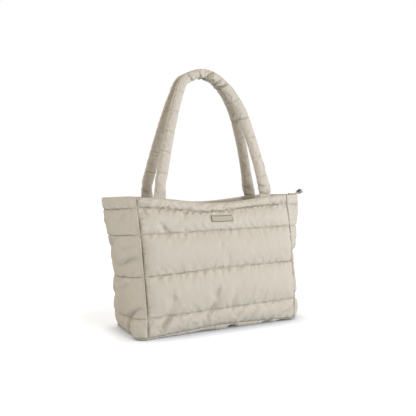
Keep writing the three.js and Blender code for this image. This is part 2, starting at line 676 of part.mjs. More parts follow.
const zipEnd = new THREE.Group();
zipEnd.position.set(tabEnd.x, 0, tabEnd.y);
zipEnd.rotation.y = -tabTilt;
zipEnd.add(piece('zip_slider', sliderGeometry(), gunmetal));
const pull = piece('zip_pull', pullGeometry(), gunmetal);
pull.position.set(neckStart + neckLength / 2, 0, pivotHeight);
zipEnd.add(pull);
bag.add(zipEnd);

export default bag;
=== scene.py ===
import math

import bpy
import numpy as np
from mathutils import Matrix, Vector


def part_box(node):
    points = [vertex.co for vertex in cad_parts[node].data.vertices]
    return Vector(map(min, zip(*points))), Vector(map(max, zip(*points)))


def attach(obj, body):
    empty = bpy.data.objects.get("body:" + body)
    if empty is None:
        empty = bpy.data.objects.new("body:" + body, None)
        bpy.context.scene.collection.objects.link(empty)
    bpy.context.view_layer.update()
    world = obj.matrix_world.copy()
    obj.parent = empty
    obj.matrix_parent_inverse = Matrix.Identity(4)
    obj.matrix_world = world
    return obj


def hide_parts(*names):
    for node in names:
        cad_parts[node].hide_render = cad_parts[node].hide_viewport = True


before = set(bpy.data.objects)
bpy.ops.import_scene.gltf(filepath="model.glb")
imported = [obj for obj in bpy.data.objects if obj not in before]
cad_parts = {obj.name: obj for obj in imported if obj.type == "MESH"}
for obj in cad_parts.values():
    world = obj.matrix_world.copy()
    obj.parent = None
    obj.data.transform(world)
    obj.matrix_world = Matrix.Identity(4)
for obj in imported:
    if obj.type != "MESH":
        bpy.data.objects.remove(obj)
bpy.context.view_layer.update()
print("frame loaded")


# Camera, where the photograph was taken from
view = {
    "place": (-0.7943, -1.3172, 0.3464),
    "azimuth": math.radians(31.1),
    "elevation": math.radians(2.8),
    "lens": 57.06,
}


def makeCamera():
    camera = bpy.data.objects.new("camera", bpy.data.cameras.new("camera"))
    bpy.context.scene.collection.objects.link(camera)
    camera.location = view["place"]
    camera.rotation_euler = (math.pi / 2 - view["elevation"], 0, -view["azimuth"])
    camera.data.lens = view["lens"]
    camera.data.sensor_width = 36
    camera.data.clip_start = 0.05
    bpy.context.scene.camera = camera


makeCamera()
print("camera placed")


# Shapes of seams and folds, and measures of points in a row
def bell(away, width):
    return np.exp(-((away / width) ** 2))


def unit(vectors):
    return vectors / np.linalg.norm(vectors, axis=-1, keepdims=True)


def lengthsAlong(points):
    return np.concatenate([[0], np.cumsum(np.linalg.norm(np.diff(points, axis=0), axis=-1))])


def evenGrid(across, up):
    # One pair for each point of a grid, as for a weave
    return np.stack(np.broadcast_arrays(across, up), -1)


# The bag's body: sizes from the frame, sections from the ground up as shares of them
bodySize = {
    "rimHeight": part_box("left_gusset")[1][2],
    "rimSag": 0.015,
    "bottomWidth": 0.389,
    "topWidth": 0.403,
    "depth": 0.158,
    "reach": 0.062,
    "belly": 0.011,
    "band": 0.0215,
    "bandPinch": 0.24,  # the band is this much narrower, to the right of the middle
    "pinchAt": 0.3,
    "pinchReach": 0.35,
    "droop": 0.004,
    "foldRound": 0.03,
    "seamWall": 0.004,
    "padWall": 0.009,
    "gap": 0.0003,
}
sections = {
    "height": (0.0, 0.07, 0.15, 0.22, 0.32, 0.43, 0.54, 0.635, 0.735, 0.85, 0.93, 1.0),
    "depth": (0.98, 1.0, 1.0, 0.985, 0.935, 0.875, 0.81, 0.77, 0.7, 0.6, 0.52, 0.494),
    "left": (0.16, 0.24, 0.32, 0.37, 0.43, 0.47, 0.55, 0.65, 0.77, 0.88, 0.96, 1.0),
    "right": (0.26, 0.46, 0.5, 0.5, 0.5, 0.52, 0.61, 0.78, 0.88, 0.97, 1.0, 1.0),
    "belly": (-1.1, 0.2, 0.6, 0.85, 1.0, 1.0, 1.0, 0.87, 0.75, 0.6, 0.4, 0.3),
    "arc": (6, 5, 4, 3, 2.3, 1.9, 1.8, 1.6, 1.4, 1.2, 1.1, 1.05),
}
# The left foot leans out in front and in at the back: how far, place and half width across, height,
# and how near to the seams it goes on
footLeans = ((0.014, -0.8, 0.3, 0.045, 24), (-0.007, 0.55, 0.5, 0.025, 12))
# Stitch lines: height at the left and right seams, dip between them in rim sags, puff of the bay above
stitchLines = (
    (0.017, 0.023, -0.5, 0.8),
    (0.153, 0.178, -0.13, 1.0),
    (0.443, 0.473, -0.23, 1.0),
    (0.74, 0.753, 0.0, 0.8),
)


def sectionAt(column, z):
    heights = np.array(sections["height"])
    values = np.array(sections[column], float)
    share = np.clip(z / bodySize["rimHeight"], 0, 1)
    k = np.clip(np.searchsorted(heights, share, side="right") - 1, 0, len(heights) - 2)
    before = np.maximum(k - 1, 0)
    after = np.minimum(k + 2, len(heights) - 1)
    step = heights[k + 1] - heights[k]
    t = (share - heights[k]) / step
    slopeIn = (values[k + 1] - values[before]) / (heights[k + 1] - heights[before]) * step
    slopeOut = (values[after] - values[k]) / (heights[after] - heights[k]) * step
    return (
        (2 * t**3 - 3 * t**2 + 1) * values[k]
        + (t**3 - 2 * t**2 + t) * slopeIn
        + (3 * t**2 - 2 * t**3) * values[k + 1]
        + (t**3 - t**2) * slopeOut
    )


def halfWidth(z):
    share = z / bodySize["rimHeight"]
    return (bodySize["bottomWidth"] * (1 - share) + bodySize["topWidth"] * share) / 2


def halfDepth(z):
    return sectionAt("depth", z) * bodySize["depth"] / 2


def panelBase(face, u, z):
    belly = bodySize["belly"] * sectionAt("belly", z) * (1 - u * u)
    return np.stack([u * halfWidth(z), face * (halfDepth(z) + belly), z], -1)


def gussetBase(hand, s, z):
    power = sectionAt("arc", z) / 2
    tip = bodySize["foldRound"] ** power
    fall = (s * s + bodySize["foldRound"]) ** power - tip
    reach = bodySize["reach"] * sectionAt("left" if hand < 0 else "right", z)
    out = reach * (1 - fall / ((1 + bodySize["foldRound"]) ** power - tip))
    if hand < 0:
        for lean, place, width, height, nearness in footLeans:
            out = out + lean * bell(s - place, width) * bell(z, height) * (1 - s**nearness)
    return np.stack([hand * (halfWidth(z) + out), s * halfDepth(z), z], -1)


def outwards(base, side, across, z):
    step = 0.01
    along = base(side, np.minimum(across + step, 1), z) - base(side, np.maximum(across - step, -1), z)
    normal = unit(np.stack([along[..., 1], -along[..., 0], np.zeros_like(z)], -1))
    middle = base(side, across, z) / (bodySize["topWidth"], bodySize["depth"], 1)
    facing = np.sum(normal * middle, -1)
    return normal * np.where(facing < 0, -1, 1)[..., None]


def lineHeights(u):
    middle = np.cos(np.pi * u / 2) ** 2
    sides = (u + 1) / 2
    rim = bodySize["rimHeight"] - bodySize["rimSag"] * middle
    lines = [
        bodySize["rimHeight"] * (left * (1 - sides) + right * sides) - bodySize["rimSag"] * dip * middle
        for left, right, dip, _ in stitchLines
    ]
    narrower = 1 - bodySize["bandPinch"] * bell(u - bodySize["pinchAt"], bodySize["pinchReach"])
    return np.array([*lines, rim - bodySize["band"] * narrower, rim])


def seamFrame(hand, face, z, isPanel):
    # Where a panel and a gusset meet: the edge's place, the mitre's direction and its stretch
    panelNormal = outwards(panelBase, face, hand + 0 * z, z)
    gussetNormal = outwards(gussetBase, hand, face + 0 * z, z)
    mitre = unit(panelNormal + gussetNormal)
    away = np.stack([-mitre[..., 1], mitre[..., 0], 0 * z], -1)
    away *= np.where(away[..., 0] * hand > 0, -1, 1)[..., None]
    edge = panelBase(face, hand + 0 * z, z) + away * (bodySize["gap"] / 2 * (1 if isPanel else -1))
    return edge, mitre, 1 / np.sum(mitre * panelNormal, -1)


# How the four walls are cut, filled and sewn
wallCut = {
    "spacing": 0.0033,  # of the cloth's grid
    "bayRows": (13, 26, 27, 18, 9),
    "innerStep": 3,  # the inside has every third row
    "panelPuff": 0.008,
    "gussetPuff": 0.004,
    "bandPuff": 0.6,
    "gussetBandPuff": 0.2,  # as a share of that
    "innerDent": 0.5,  # share of a dent that the inside follows
    "fullness": 0.5,
    "panelEase": 0.18,
    "gussetEase": 0.4,
    "innerEase": 0.012,
    "foldDepth": 0.006,
    "foldWidth": 0.011,
    "gather": 0.003,  # extra cloth in a bay of a panel
    "gussetGather": 0.013,  # and of a gusset
    "lineGather": 0.025,  # and beside the stitch lines
    "lineReach": 0.008,
    "bandGather": 0.008,  # and in the band of a panel
    "gussetBand": 0.004,  # and of a gusset
    "rimRound": 0.0012,
    "thinnest": 0.0014,
    "mostIn": 0.0035,  # how far the filling may move the cloth
    "mostOut": 0.007,
}
turnedWalls = ("back_panel", "left_gusset")  # their grids run the other way round
# Dents: both ends as shares of the half width and of the rim's height, depth and width as shares
frontFolds = (
    (0.75, 0.05, 1.0, 0.12, 0.8, 0.8),
    (-0.7, 0.27, -0.75, 0.17, 0.6, 1.0),
    (-0.76, 0.13, -0.86, 0.06, 1.0, 0.8),
    (-0.15, 0.28, -0.18, 0.19, 0.7, 1.0),
    (-0.2, 0.16, -0.32, 0.08, 0.7, 1.0),
    (0.1, 0.28, 0.06, 0.2, 0.45, 1.1),
    (0.38, 0.14, 0.24, 0.07, 0.5, 0.9),
    (-0.92, 0.92, -1.0, 0.86, 0.6, 0.8),
    (0.9, 0.94, 1.0, 0.88, 0.6, 0.8),
    (-0.77, 0.8, -0.69, 0.75, 0.6, 0.8),
)
backFolds = (
    (-0.8, 0.05, -1.0, 0.13, 0.8, 0.8),
    (0.62, 0.26, 0.68, 0.17, 0.7, 1.0),
    (0.2, 0.15, 0.3, 0.07, 0.8, 0.9),
    (-0.34, 0.28, -0.3, 0.19, 0.6, 1.0),
    (-0.42, 0.15, -0.36, 0.07, 0.6, 1.0),
    (0.9, 0.93, 1.0, 0.87, 0.6, 0.8),
    (-0.9, 0.93, -1.0, 0.87, 0.6, 0.8),
)
gussetFolds = (
    (-0.15, 0.69, 0.45, 0.62, 0.7, 0.9),
    (-0.85, 0.56, -0.1, 0.51, 0.6, 0.9),
    (-0.9, 0.2, -0.2, 0.14, 0.45, 1.0),
    (-0.35, 0.15, -0.2, 0.04, 0.3, 0.8),
    (0.2, 0.32, 0.85, 0.26, 0.6, 1.0),
)
walls = {
    "front_panel": (panelBase, -1, frontFolds, 122),
    "back_panel": (panelBase, 1, backFolds, 122),
    "left_gusset": (gussetBase, -1, gussetFolds, 50),
    "right_gusset": (gussetBase, 1, gussetFolds, 50),
}
rowBays = np.append(np.repeat(np.arange(5), wallCut["bayRows"]), 4)[:, None]
rowShares = np.array([k / n for n in wallCut["bayRows"] for k in range(n)] + [1.0])[:, None]


def eachFold(folds, x, z, halfSpan):
    # For each fold: a point's share of its run, its signed distance from the run's line, and the sizes
    for x0, z0, x1, z1, depth, width in folds:
        start = np.array([x0 * halfSpan, z0 * bodySize["rimHeight"]])
        run = np.array([x1 * halfSpan, z1 * bodySize["rimHeight"]]) - start
        length = np.linalg.norm(run)
        t = ((x - start[0]) * run[0] + (z - start[1]) * run[1]) / length**2
        away = ((x - start[0]) * run[1] - (z - start[1]) * run[0]) / length
        yield t, away, length, depth, width


def foldDent(folds, x, z, halfSpan):
    dent = 0 * x
    for t, away, length, depth, width in eachFold(folds, x, z, halfSpan):
        away = np.hypot(away, (t - np.clip(t, 0, 1)) * length)
        dent += depth * wallCut["foldDepth"] * bell(away, width * wallCut["foldWidth"])
    return dent


def wallSurfaces(name):
    # Outer and inner points of a wall, row by row from the ground up, with each point's bay share
    base, side, folds, columns = walls[name]
    isPanel = base is panelBase
    across = np.linspace(-1, 1, columns + 1)[None, :] + 0 * rowShares
    heights = lineHeights(across[0] if isPanel else np.full(columns + 1, float(side)))
    low = heights[rowBays[:, 0]]
    high = heights[rowBays[:, 0] + 1]
    z = low * (1 - rowShares) + high * rowShares
    if not isPanel:
        droop = np.where(rowBays == 0, rowShares, 1 - np.where(rowBays == 4, rowShares, 0))
        z = z - bodySize["droop"] * droop * (1 - across**2)
    halfSpan = bodySize["topWidth"] / 2 if isPanel else bodySize["depth"] / 2
    easeWidth = wallCut["panelEase" if isPanel else "gussetEase"]
    ease = np.sin(np.pi / 2 * np.minimum(1, (1 - np.abs(across)) / easeWidth)) ** wallCut["fullness"]
    swell = np.abs(np.sin(np.pi * rowShares)) ** wallCut["fullness"] * ease
    puffs = np.array([line[3] for line in stitchLines] + [wallCut["bandPuff"]])
    puff = wallCut["panelPuff" if isPanel else "gussetPuff"] * puffs[rowBays]
    if not isPanel:
        puff = np.where(rowBays == 4, wallCut["gussetBandPuff"] * puff, puff)
    dent = foldDent(folds, across * halfSpan, z, halfSpan) * ease
    isBand = rowBays == 4
    pad = (bodySize["padWall"] - bodySize["seamWall"]) * swell
    inner = bodySize["seamWall"] + np.where(isBand, 0, pad + wallCut["innerDent"] * dent)
    rounding = np.where(rowShares == 1, wallCut["rimRound"], 0)
    outer = np.maximum(puff * swell - dent, -inner / 2) - rounding
    inner = inner - rounding
    at = base(side, across, z)
    normal = outwards(base, side, across, z)
    outside = at + normal * outer[..., None]
    inside = at - normal * inner[..., None]
    for column, hand in ((0, -1), (columns, 1)):
        corner = (hand, side) if isPanel else (side, hand)
        edge, mitre, spread = seamFrame(*corner, z[:, column], isPanel)
        outside[:, column] = edge + mitre * outer[:, column, None]
        inside[:, column] = edge - mitre * (inner[:, column] * spread)[:, None]
        step = int(np.ceil(wallCut["innerEase"] / wallCut["spacing"]))
        held = column - hand * step
        for k in range(1, step):
            share = k / step
            inside[:, column - hand * k] = inside[:, column] * (1 - share) + inside[:, held] * share
    return outside, inside, normal, across, z


def gridFaces(rows, columns):
    at = np.arange(rows * columns).reshape(rows, columns)
    return np.stack([at[:-1, :-1], at[:-1, 1:], at[1:, 1:], at[1:, :-1]], -1).reshape(-1, 4)


def tubeFaces(rows, columns):
    at = np.arange(rows * columns).reshape(rows, columns)
    across = np.roll(at, -1, axis=1)
    faces = np.stack([at[:-1], across[:-1], across[1:], at[1:]], -1).reshape(-1, 4).tolist()
    return [*faces, at[0, ::-1].tolist(), at[-1].tolist()]


def makeMesh(name, points, faces, uv=None):
    mesh = bpy.data.meshes.new(name)
    mesh.from_pydata(np.reshape(points, (-1, 3)).tolist(), [], [list(map(int, face)) for face in faces])
    if uv is not None:
        layer = mesh.uv_layers.new(name="cloth")
        loops = np.zeros(len(mesh.loops), np.int32)
        mesh.loops.foreach_get("vertex_index", loops)
        layer.data.foreach_set("uv", np.reshape(uv, (-1, 2))[loops].astype(np.float32).ravel())
    mesh.polygons.foreach_set("use_smooth", [True] * len(mesh.polygons))
    mesh.update()
    thing = bpy.data.objects.new(name, mesh)
    bpy.context.scene.collection.objects.link(thing)
    return thing


def bakeModifiers(thing):
    mesh = bpy.data.meshes.new_from_object(thing.evaluated_get(bpy.context.evaluated_depsgraph_get()))
    thing.modifiers.clear()
    old = thing.data
    thing.data = mesh
    bpy.data.meshes.remove(old)
    mesh.name = thing.name


def breakEdges(thing, width, segments, angle):
    bevel = thing.modifiers.new("edge", "BEVEL")
    bevel.width = width
    bevel.segments = segments
    bevel.limit_method = "ANGLE"
    bevel.angle_limit = math.radians(angle)
    bakeModifiers(thing)


def paintSeamShade(thing, amount):
    # Painted shade: how deep in a seam, a fold or near the ground each point lies, for its tone
    mark = thing.data.attributes.new("seam", "FLOAT", "POINT")
    values = np.zeros(len(thing.data.vertices), np.float32)
    values[: amount.size] = amount.ravel()
    mark.data.foreach_set("value", values)


# The cloth's own behaviour
clothFeel = {
    "frames": 14,
    "steps": 6,
    "mass": 0.02,
    "tension": 20,
    "shear": 8,
    "bending": 0.3,
    "pressure": 20,
    "damping": 1,
    "roughStart": 0.0003,
    "seed": 11,
}
chance = np.random.default_rng(clothFeel["seed"])


def smoothChance(shape, passes, size):
    # Random heights, smoothed and scaled to a size
    heights = chance.normal(0, 1, shape)
    for _ in range(passes):
        for axis in (0, 1):
            heights = (np.roll(heights, 1, axis) + 2 * heights + np.roll(heights, -1, axis)) / 4
    return heights * size / heights.std()


def addWeights(thing, name, weights):
    group = thing.vertex_groups.new(name=name)
    values = np.round(weights.ravel(), 2)
    for value in np.unique(values):
        if value > 0:
            group.add(np.flatnonzero(values == value).tolist(), float(value), "REPLACE")


def addCloth(thing, held, extra, feel):
    # held pins the cloth; extra is how much bigger it was cut, as a share
    most = extra.max()
    addWeights(thing, "held", held)
    addWeights(thing, "cut", 1 - extra / most)
    cloth = thing.modifiers.new("cloth", "CLOTH")
    settings = cloth.settings
    settings.vertex_group_mass = "held"
    settings.pin_stiffness = 1
    settings.vertex_group_shrink = "cut"
    settings.shrink_min = -most
    settings.shrink_max = 0
    settings.quality = feel["steps"]
    settings.mass = feel["mass"]
    settings.tension_stiffness = settings.compression_stiffness = feel["tension"]
    settings.shear_stiffness = feel["shear"]
    settings.bending_stiffness = feel["bending"]
    settings.tension_damping = settings.compression_damping = settings.shear_damping = feel["damping"]
    settings.use_pressure = True
    settings.uniform_pressure_force = feel["pressure"]
    settings.effector_weights.gravity = 0
    cloth.collision_settings.use_collision = False
    cloth.point_cache.frame_start = 1
    cloth.point_cache.frame_end = feel["frames"]


def readPoints(thing, shape):
    settled = thing.evaluated_get(bpy.context.evaluated_depsgraph_get())
    points = np.zeros(len(settled.data.vertices) * 3, np.float32)
    settled.data.vertices.foreach_get("co", points)
    return points.reshape(shape).astype(float)


# Straps: middle line as shares of half the span and of the rise
strapSize = {
    "span": 0.28,
    "rise": 0.278,
    "width": 0.027,
    "thickness": 0.0145,
    "apart": 0.018,  # between the middles of the two straps at the top
    "backShift": 0.0025,
    "rootThickness": 0.005,
    "rootDepth": 0.018,
    "rootClear": 0.0025,
    "rootSwell": 0.022,
    "quiltPitch": 0.0473,
    "quiltStart": 0.0025,  # the middle cross seam lies this far to the right
    "quiltPinch": 0.1,
    "quiltNarrow": 0.004,  # half width of a cross seam's pinch
    "inset": 0.001,
    "sides": 40,
    "steps": 260,
    "curveSteps": 4000,
    "seamAngle": math.radians(152),
    "seamDepth": 0.0009,
    "seamWidth": math.radians(7),
    "stitchDepth": 0.0007,
    "stitchWidth": 0.0014,
    "backCreases": 0.008,  # its creases lie this much further along
    "creaseSlant": 0.008,
    # Painted shade on the strap cloth: in its creases, its side seams and its cross seams
    "darkestShadeDepth": 0.0022,  # a crease this deep gets its darkest painted shade
    "creaseShade": 0.95,
    "paintedSeamShade": 0.25,
    "stitchShade": 0.16,
    "clothAround": 2.6,  # widths of the strap that its cloth measures round it
    "bendCut": 0.05,  # extra cloth on the inner side of the top bend
    "plainCut": 0.015,
    "bendFrom": 0.86,  # shares of the rise between which that cloth comes in
    "bendTo": 0.98,
    "heldRoot": 0.3,  # the cloth is held where the strap is filled less than this
    "heldSeam": 0.0014,  # and this near a cross seam
}
strapLine = (
    (-1.022, 0.0),
    (-1.012, 0.1),
    (-0.965, 0.2),
    (-0.867, 0.4),
    (-0.774, 0.57),
    (-0.641, 0.78),
    (-0.5, 0.93),
    (-0.3, 0.988),
    (-0.08, 1.004),
    (0.135, 0.966),
    (0.325, 0.89),
    (0.56, 0.725),
    (0.72, 0.52),
    (0.845, 0.315),
    (0.945, 0.115),
    (0.995, 0.0),
)
# Widths along a strap: share of its length, share of its width
strapWidths = (
    (0.0, 1.12),
    (0.03, 1.1),
    (0.062, 0.84),
    (0.1, 0.96),
    (0.2, 0.9),
    (0.35, 0.82),
    (0.43, 0.8),
    (0.5, 0.78),
    (0.58, 0.84),
    (0.68, 1.02),
    (0.8, 0.97),
    (0.9, 1.02),
    (0.95, 1.16),
    (1.0, 1.24),
)


def smoothStep(x, low, high):
    t = np.clip((x - low) / (high - low), 0, 1)
    return t * t * (3 - 2 * t)


def rimAt(x):
    return lineHeights(np.clip(x / halfWidth(bodySize["rimHeight"]), -1, 1))[-1]


def toCrossSeam(along, length):
    pitch = strapSize["quiltPitch"]
    return (along - length / 2 - strapSize["quiltStart"] + pitch / 2) % pitch - pitch / 2


def strapPath(face):
    # Centripetal spline through the middle line, at equal lengths
    shift = strapSize["backShift"] if face > 0 else 0
    line = np.array(strapLine) * (strapSize["span"] / 2, strapSize["rise"]) + (shift, bodySize["rimHeight"])
    feet = [[x, rimAt(x) - strapSize["rootDepth"]] for x in (line[0, 0], line[-1, 0])]
    line = np.vstack([feet[0], line, feet[1]])
    line = np.vstack([2 * line[0] - line[1], line, 2 * line[-1] - line[-2]])
    fine = []
    perPiece = strapSize["curveSteps"] // (len(line) - 3)
    for k in range(1, len(line) - 2):
        p = line[k - 1 : k + 3]
        d = np.linalg.norm(np.diff(p, axis=0), axis=1) ** 0.5
        slopeIn = (p[1] - p[0]) / d[0] - (p[2] - p[0]) / (d[0] + d[1]) + (p[2] - p[1]) / d[1]
        slopeOut = (p[2] - p[1]) / d[1] - (p[3] - p[1]) / (d[1] + d[2]) + (p[3] - p[2]) / d[2]
        slopeIn, slopeOut = slopeIn * d[1], slopeOut * d[1]
        t = np.linspace(0, 1, perPiece, endpoint=False)[:, None]
        cubic = 2 * p[1] - 2 * p[2] + slopeIn + slopeOut
        square = -3 * p[1] + 3 * p[2] - 2 * slopeIn - slopeOut
        fine.append(p[1] + slopeIn * t + square * t**2 + cubic * t**3)
    fine = np.vstack([*fine, line[-2]])
    run = lengthsAlong(fine)
    along = np.linspace(0, run[-1], strapSize["steps"] + 1)
    middle = np.stack([np.interp(along, run, fine[:, k]) for k in (0, 1)], -1)
    return middle, unit(np.gradient(middle, axis=0)), along


def strapSurface(face):
    size = strapSize
    middle, tangent, along = strapPath(face)
    rim = bodySize["rimHeight"]
    angle = 2 * np.pi * (np.arange(size["sides"]) + 0.5)[None, :] / size["sides"]
    x0, z0 = middle[:, :1], middle[:, 1:]
    rise = np.clip((z0 - rim) / size["rise"], 0, 1)
    toSeam = toCrossSeam(along[:, None], along[-1])
    pinch = size["quiltPinch"] * np.exp(-((np.abs(toSeam) / size["quiltNarrow"]) ** 1.2))
    widths = np.interp(along / along[-1], *np.transpose(strapWidths))[:, None]
    halfW = size["width"] / 2 * widths * (1 - 0.25 * pinch)
    across = np.sign(np.cos(angle)) * np.abs(np.cos(angle)) ** 0.8 * halfW
    x = x0 + tangent[:, 1:] * across
    z = z0 - tangent[:, :1] * across
    fill = smoothStep(z - rimAt(x), size["rootClear"], size["rootSwell"])
    halfT = (size["rootThickness"] * (1 - fill) + size["thickness"] * (1 - pinch) * fill) / 2
    groove = 0
    for seam in (size["seamAngle"], -size["seamAngle"]):
        away = (angle - seam + np.pi) % (2 * np.pi) - np.pi
        groove = groove + bell(away, size["seamWidth"])
    deep = np.sign(np.sin(angle)) * np.abs(np.sin(angle)) ** 0.5 * halfT
    deep = deep * (1 - size["seamDepth"] / size["thickness"] * 2 * groove * fill)
    low = np.minimum(z, rim)
    inside = panelBase(face, x / halfWidth(low), low)[..., 1] - face * bodySize["seamWall"]
    held = inside - face * (bodySize["gap"] + size["rootThickness"] / 2)
    atRim = halfDepth(rim) - size["inset"]
    free = face * (atRim * (1 - rise) + (size["apart"] + bodySize["gap"]) / 2 * rise)
    y = held * (1 - fill) + free * fill + deep
    points = np.stack([x, y, z], -1)
    bend = smoothStep(rise, size["bendFrom"], size["bendTo"])
    extra = size["plainCut"] + size["bendCut"] * bend * np.clip(np.cos(angle), 0, 1) ** 0.7
    return points, along, extra, fill, toSeam


labelSize = {
    "width": 0.057,
    "height": 0.0142,
    "belowBand": 0.0063,
    "margin": 0.0015,
    "gap": 0.0005,
}


def labelTop(x):
    return rimAt(x) - bodySize["band"] - labelSize["belowBand"]


def underLabel(x, z):
    # Cloth that the label is sewn to
    top = labelTop(x)
    margin = labelSize["margin"]
    beside = np.abs(x) < labelSize["width"] / 2 + margin
    return beside & (z < top + margin) & (z > top - labelSize["height"] - margin)


# Every cloth is puffed up in the same few frames
def clothStart(name, points, closed, held, extra, turned):
    rows, columns = points.shape[:2]
    faces = gridFaces(rows, columns)
    if closed:
        at = np.arange(rows * columns).reshape(rows, columns)
        faces = np.vstack([faces, np.stack([at[:-1, -1], at[:-1, 0], at[1:, 0], at[1:, -1]], -1)])
    if turned:
        faces = faces[:, ::-1]
    thing = makeMesh(name + "_cloth", points, faces)
    addCloth(thing, held, extra + np.zeros((rows, columns)), clothFeel)
    return thing


wallPoints = {}
cloths = {}
for name, (base, side, _, _) in walls.items():
    outside, inside, normal, across, z = wallSurfaces(name)
    held = np.zeros(outside.shape[:2])
    held[rowShares[:, 0] == 0] = 1
    held[-1] = held[:, 0] = held[:, -1] = 1
    toLine = np.minimum(rowShares, 1 - rowShares) * np.array(wallCut["bayRows"])[rowBays] * wallCut["spacing"]
    near = bell(toLine, wallCut["lineReach"]) + 0 * across
    isPanel = base is panelBase
    extra = wallCut["gather" if isPanel else "gussetGather"] * (1 - near) + wallCut["lineGather"] * near
    extra = np.where(rowBays == 4, wallCut["bandGather" if isPanel else "gussetBand"], extra)
    if name == "front_panel":
        held[underLabel(outside[..., 0], z)] = 1
    start = outside + normal * (smoothChance(held.shape, 4, clothFeel["roughStart"]) * (1 - held))[..., None]
    wallPoints[name] = (outside, inside, normal, across, z)
    cloths[name] = clothStart(name, start, False, held, extra, name in turnedWalls)
strapParts = {}
for name, face in (("front_handle", -1), ("back_handle", 1)):
    points, along, extra, fill, toSeam = strapSurface(face)
    isHeld = (fill < strapSize["heldRoot"]) | (np.abs(toSeam) < strapSize["heldSeam"])
    held = np.where(isHeld, 1.0, 0.0)
    outerEdge = strapSize["sides"] // 2
    held[:, outerEdge - 1 : outerEdge + 1] = 1
    held[:, (0, -1)] = np.maximum(held[:, (0, -1)], extra[:, (0, -1)] < 1.5 * strapSize["plainCut"])
    strapParts[name] = (points, along, extra, fill, toSeam)
    cloths[name] = clothStart(name, points, True, held, extra, False)
for moment in range(1, clothFeel["frames"] + 1):
    bpy.context.scene.frame_set(moment)
settled = {}
for name, thing in cloths.items():
    shape = (wallPoints[name][0] if name in wallPoints else strapParts[name][0]).shape
    settled[name] = readPoints(thing, shape)
    bpy.data.objects.remove(thing)
bpy.context.scene.frame_set(1)
print("cloth puffed up")


# Nodes: inputs are given by name or place, as values or as another node's output
def fillInputs(tree, node, inputs):
    for label, value in inputs.items():
        if isinstance(value, bpy.types.NodeSocket):
            tree.links.new(value, node.inputs[label])
        elif value is not None:
            node.inputs[label].default_value = value


def addNode(tree, kind, inputs=None, **settings):
    node = tree.nodes.new(kind)
    for label, value in settings.items():
        setattr(node, label, value)
    fillInputs(tree, node, inputs or {})
    return node


def newGroup(name, kind, inputs, outputs):
    tree = bpy.data.node_groups.new(name, kind)
    for label, socketKind, value in inputs:
        socket = tree.interface.new_socket(label, in_out="INPUT", socket_type=socketKind)
        if value is not None:
            socket.default_value = value
    for label, socketKind in outputs:
        tree.interface.new_socket(label, in_out="OUTPUT", socket_type=socketKind)
    return tree, tree.nodes.new("NodeGroupInput"), tree.nodes.new("NodeGroupOutput")


def mathNode(tree, operation, *values, clamp=False):
    node = addNode(tree, "ShaderNodeMath", dict(enumerate(values)), operation=operation, use_clamp=clamp)
    return node.outputs[0]


def mixNode(tree, share, first, second):
    inputs = {"Factor": share, "A": first, "B": second}
    return addNode(tree, "ShaderNodeMix", inputs, data_type="RGBA").outputs["Result"]


def noiseNode(tree, place, scale, detail=2, **inputs):
    values = {"Vector": place, "Scale": scale, "Detail": detail, **inputs}
    return addNode(tree, "ShaderNodeTexNoise", values).outputs["Fac"]


def bumpNode(tree, height, distance, strength=1, under=None):
    inputs = {"Height": height, "Distance": distance, "Strength": strength, "Normal": under}
    return addNode(tree, "ShaderNodeBump", inputs).outputs["Normal"]


def newMaterial(name):
    material = bpy.data.materials.new(name)
    material.use_nodes = True
    tree = material.node_tree
    return material, tree, tree.nodes["Principled BSDF"]


# Fabric
def makeWeaveGroup():
    inputs = [("Place", "NodeSocketVector", None), ("Thread", "NodeSocketFloat", 0.0006)]
    tree, given, result = newGroup("woven cloth", "ShaderNodeTree", inputs, [("Height", "NodeSocketFloat")])
    split = addNode(tree, "ShaderNodeSeparateXYZ", {0: given.outputs["Place"]})
    waves = []
    for axis in "XY":
        turns = mathNode(tree, "DIVIDE", split.outputs[axis], given.outputs["Thread"])
        waves.append(mathNode(tree, "SINE", mathNode(tree, "MULTIPLY", turns, 2 * math.pi)))
    fillInputs(tree, result, {"Height": mathNode(tree, "MULTIPLY", *waves)})
    return tree


def makeCrumpleGroup():
    inputs = [("Place", "NodeSocketVector", None), ("Size", "NodeSocketFloat", 0.02)]
    tree, given, result = newGroup("soft creases", "ShaderNodeTree", inputs, [("Height", "NodeSocketFloat")])
    values = {
        "Vector": given.outputs["Place"],
        "Scale": mathNode(tree, "DIVIDE", 1.0, given.outputs["Size"]),
        "Detail": 3,
        "Roughness": 0.55,
        "Distortion": 0.6,
    }
    folds = addNode(tree, "ShaderNodeTexNoise", values, noise_type="RIDGED_MULTIFRACTAL")
    fillInputs(tree, result, {"Height": folds.outputs["Fac"]})
    return tree


weaveGroup = makeWeaveGroup()
crumpleGroup = makeCrumpleGroup()
fabricLook = {
    "light": (0.576, 0.543, 0.464, 1),
    "dark": (0.526, 0.493, 0.416, 1),
    "seamShadeFactor": (0.44, 0.4, 0.3, 1),  # share of the dark tone that is left where shade is painted into a seam or a fold
    "blotches": 14,
    "roughness": 0.62,
    "sheen": 0.25,
    "thread": 0.0007,
    "creases": 0.035,
    "weaveDepth": 0.00005,
    "creaseDepth": 0.00025,
}
strapLook = {**fabricLook, "creaseDepth": 0.00015}
tapeLook = {
    **fabricLook,
    "light": (0.5, 0.455, 0.375, 1),
    "dark": (0.44, 0.4, 0.325, 1),
    "roughness": 0.75,
    "sheen": 0.2,
    "thread": 0.0011,
    "creases": 0.05,
    "weaveDepth": 0.00012,
}


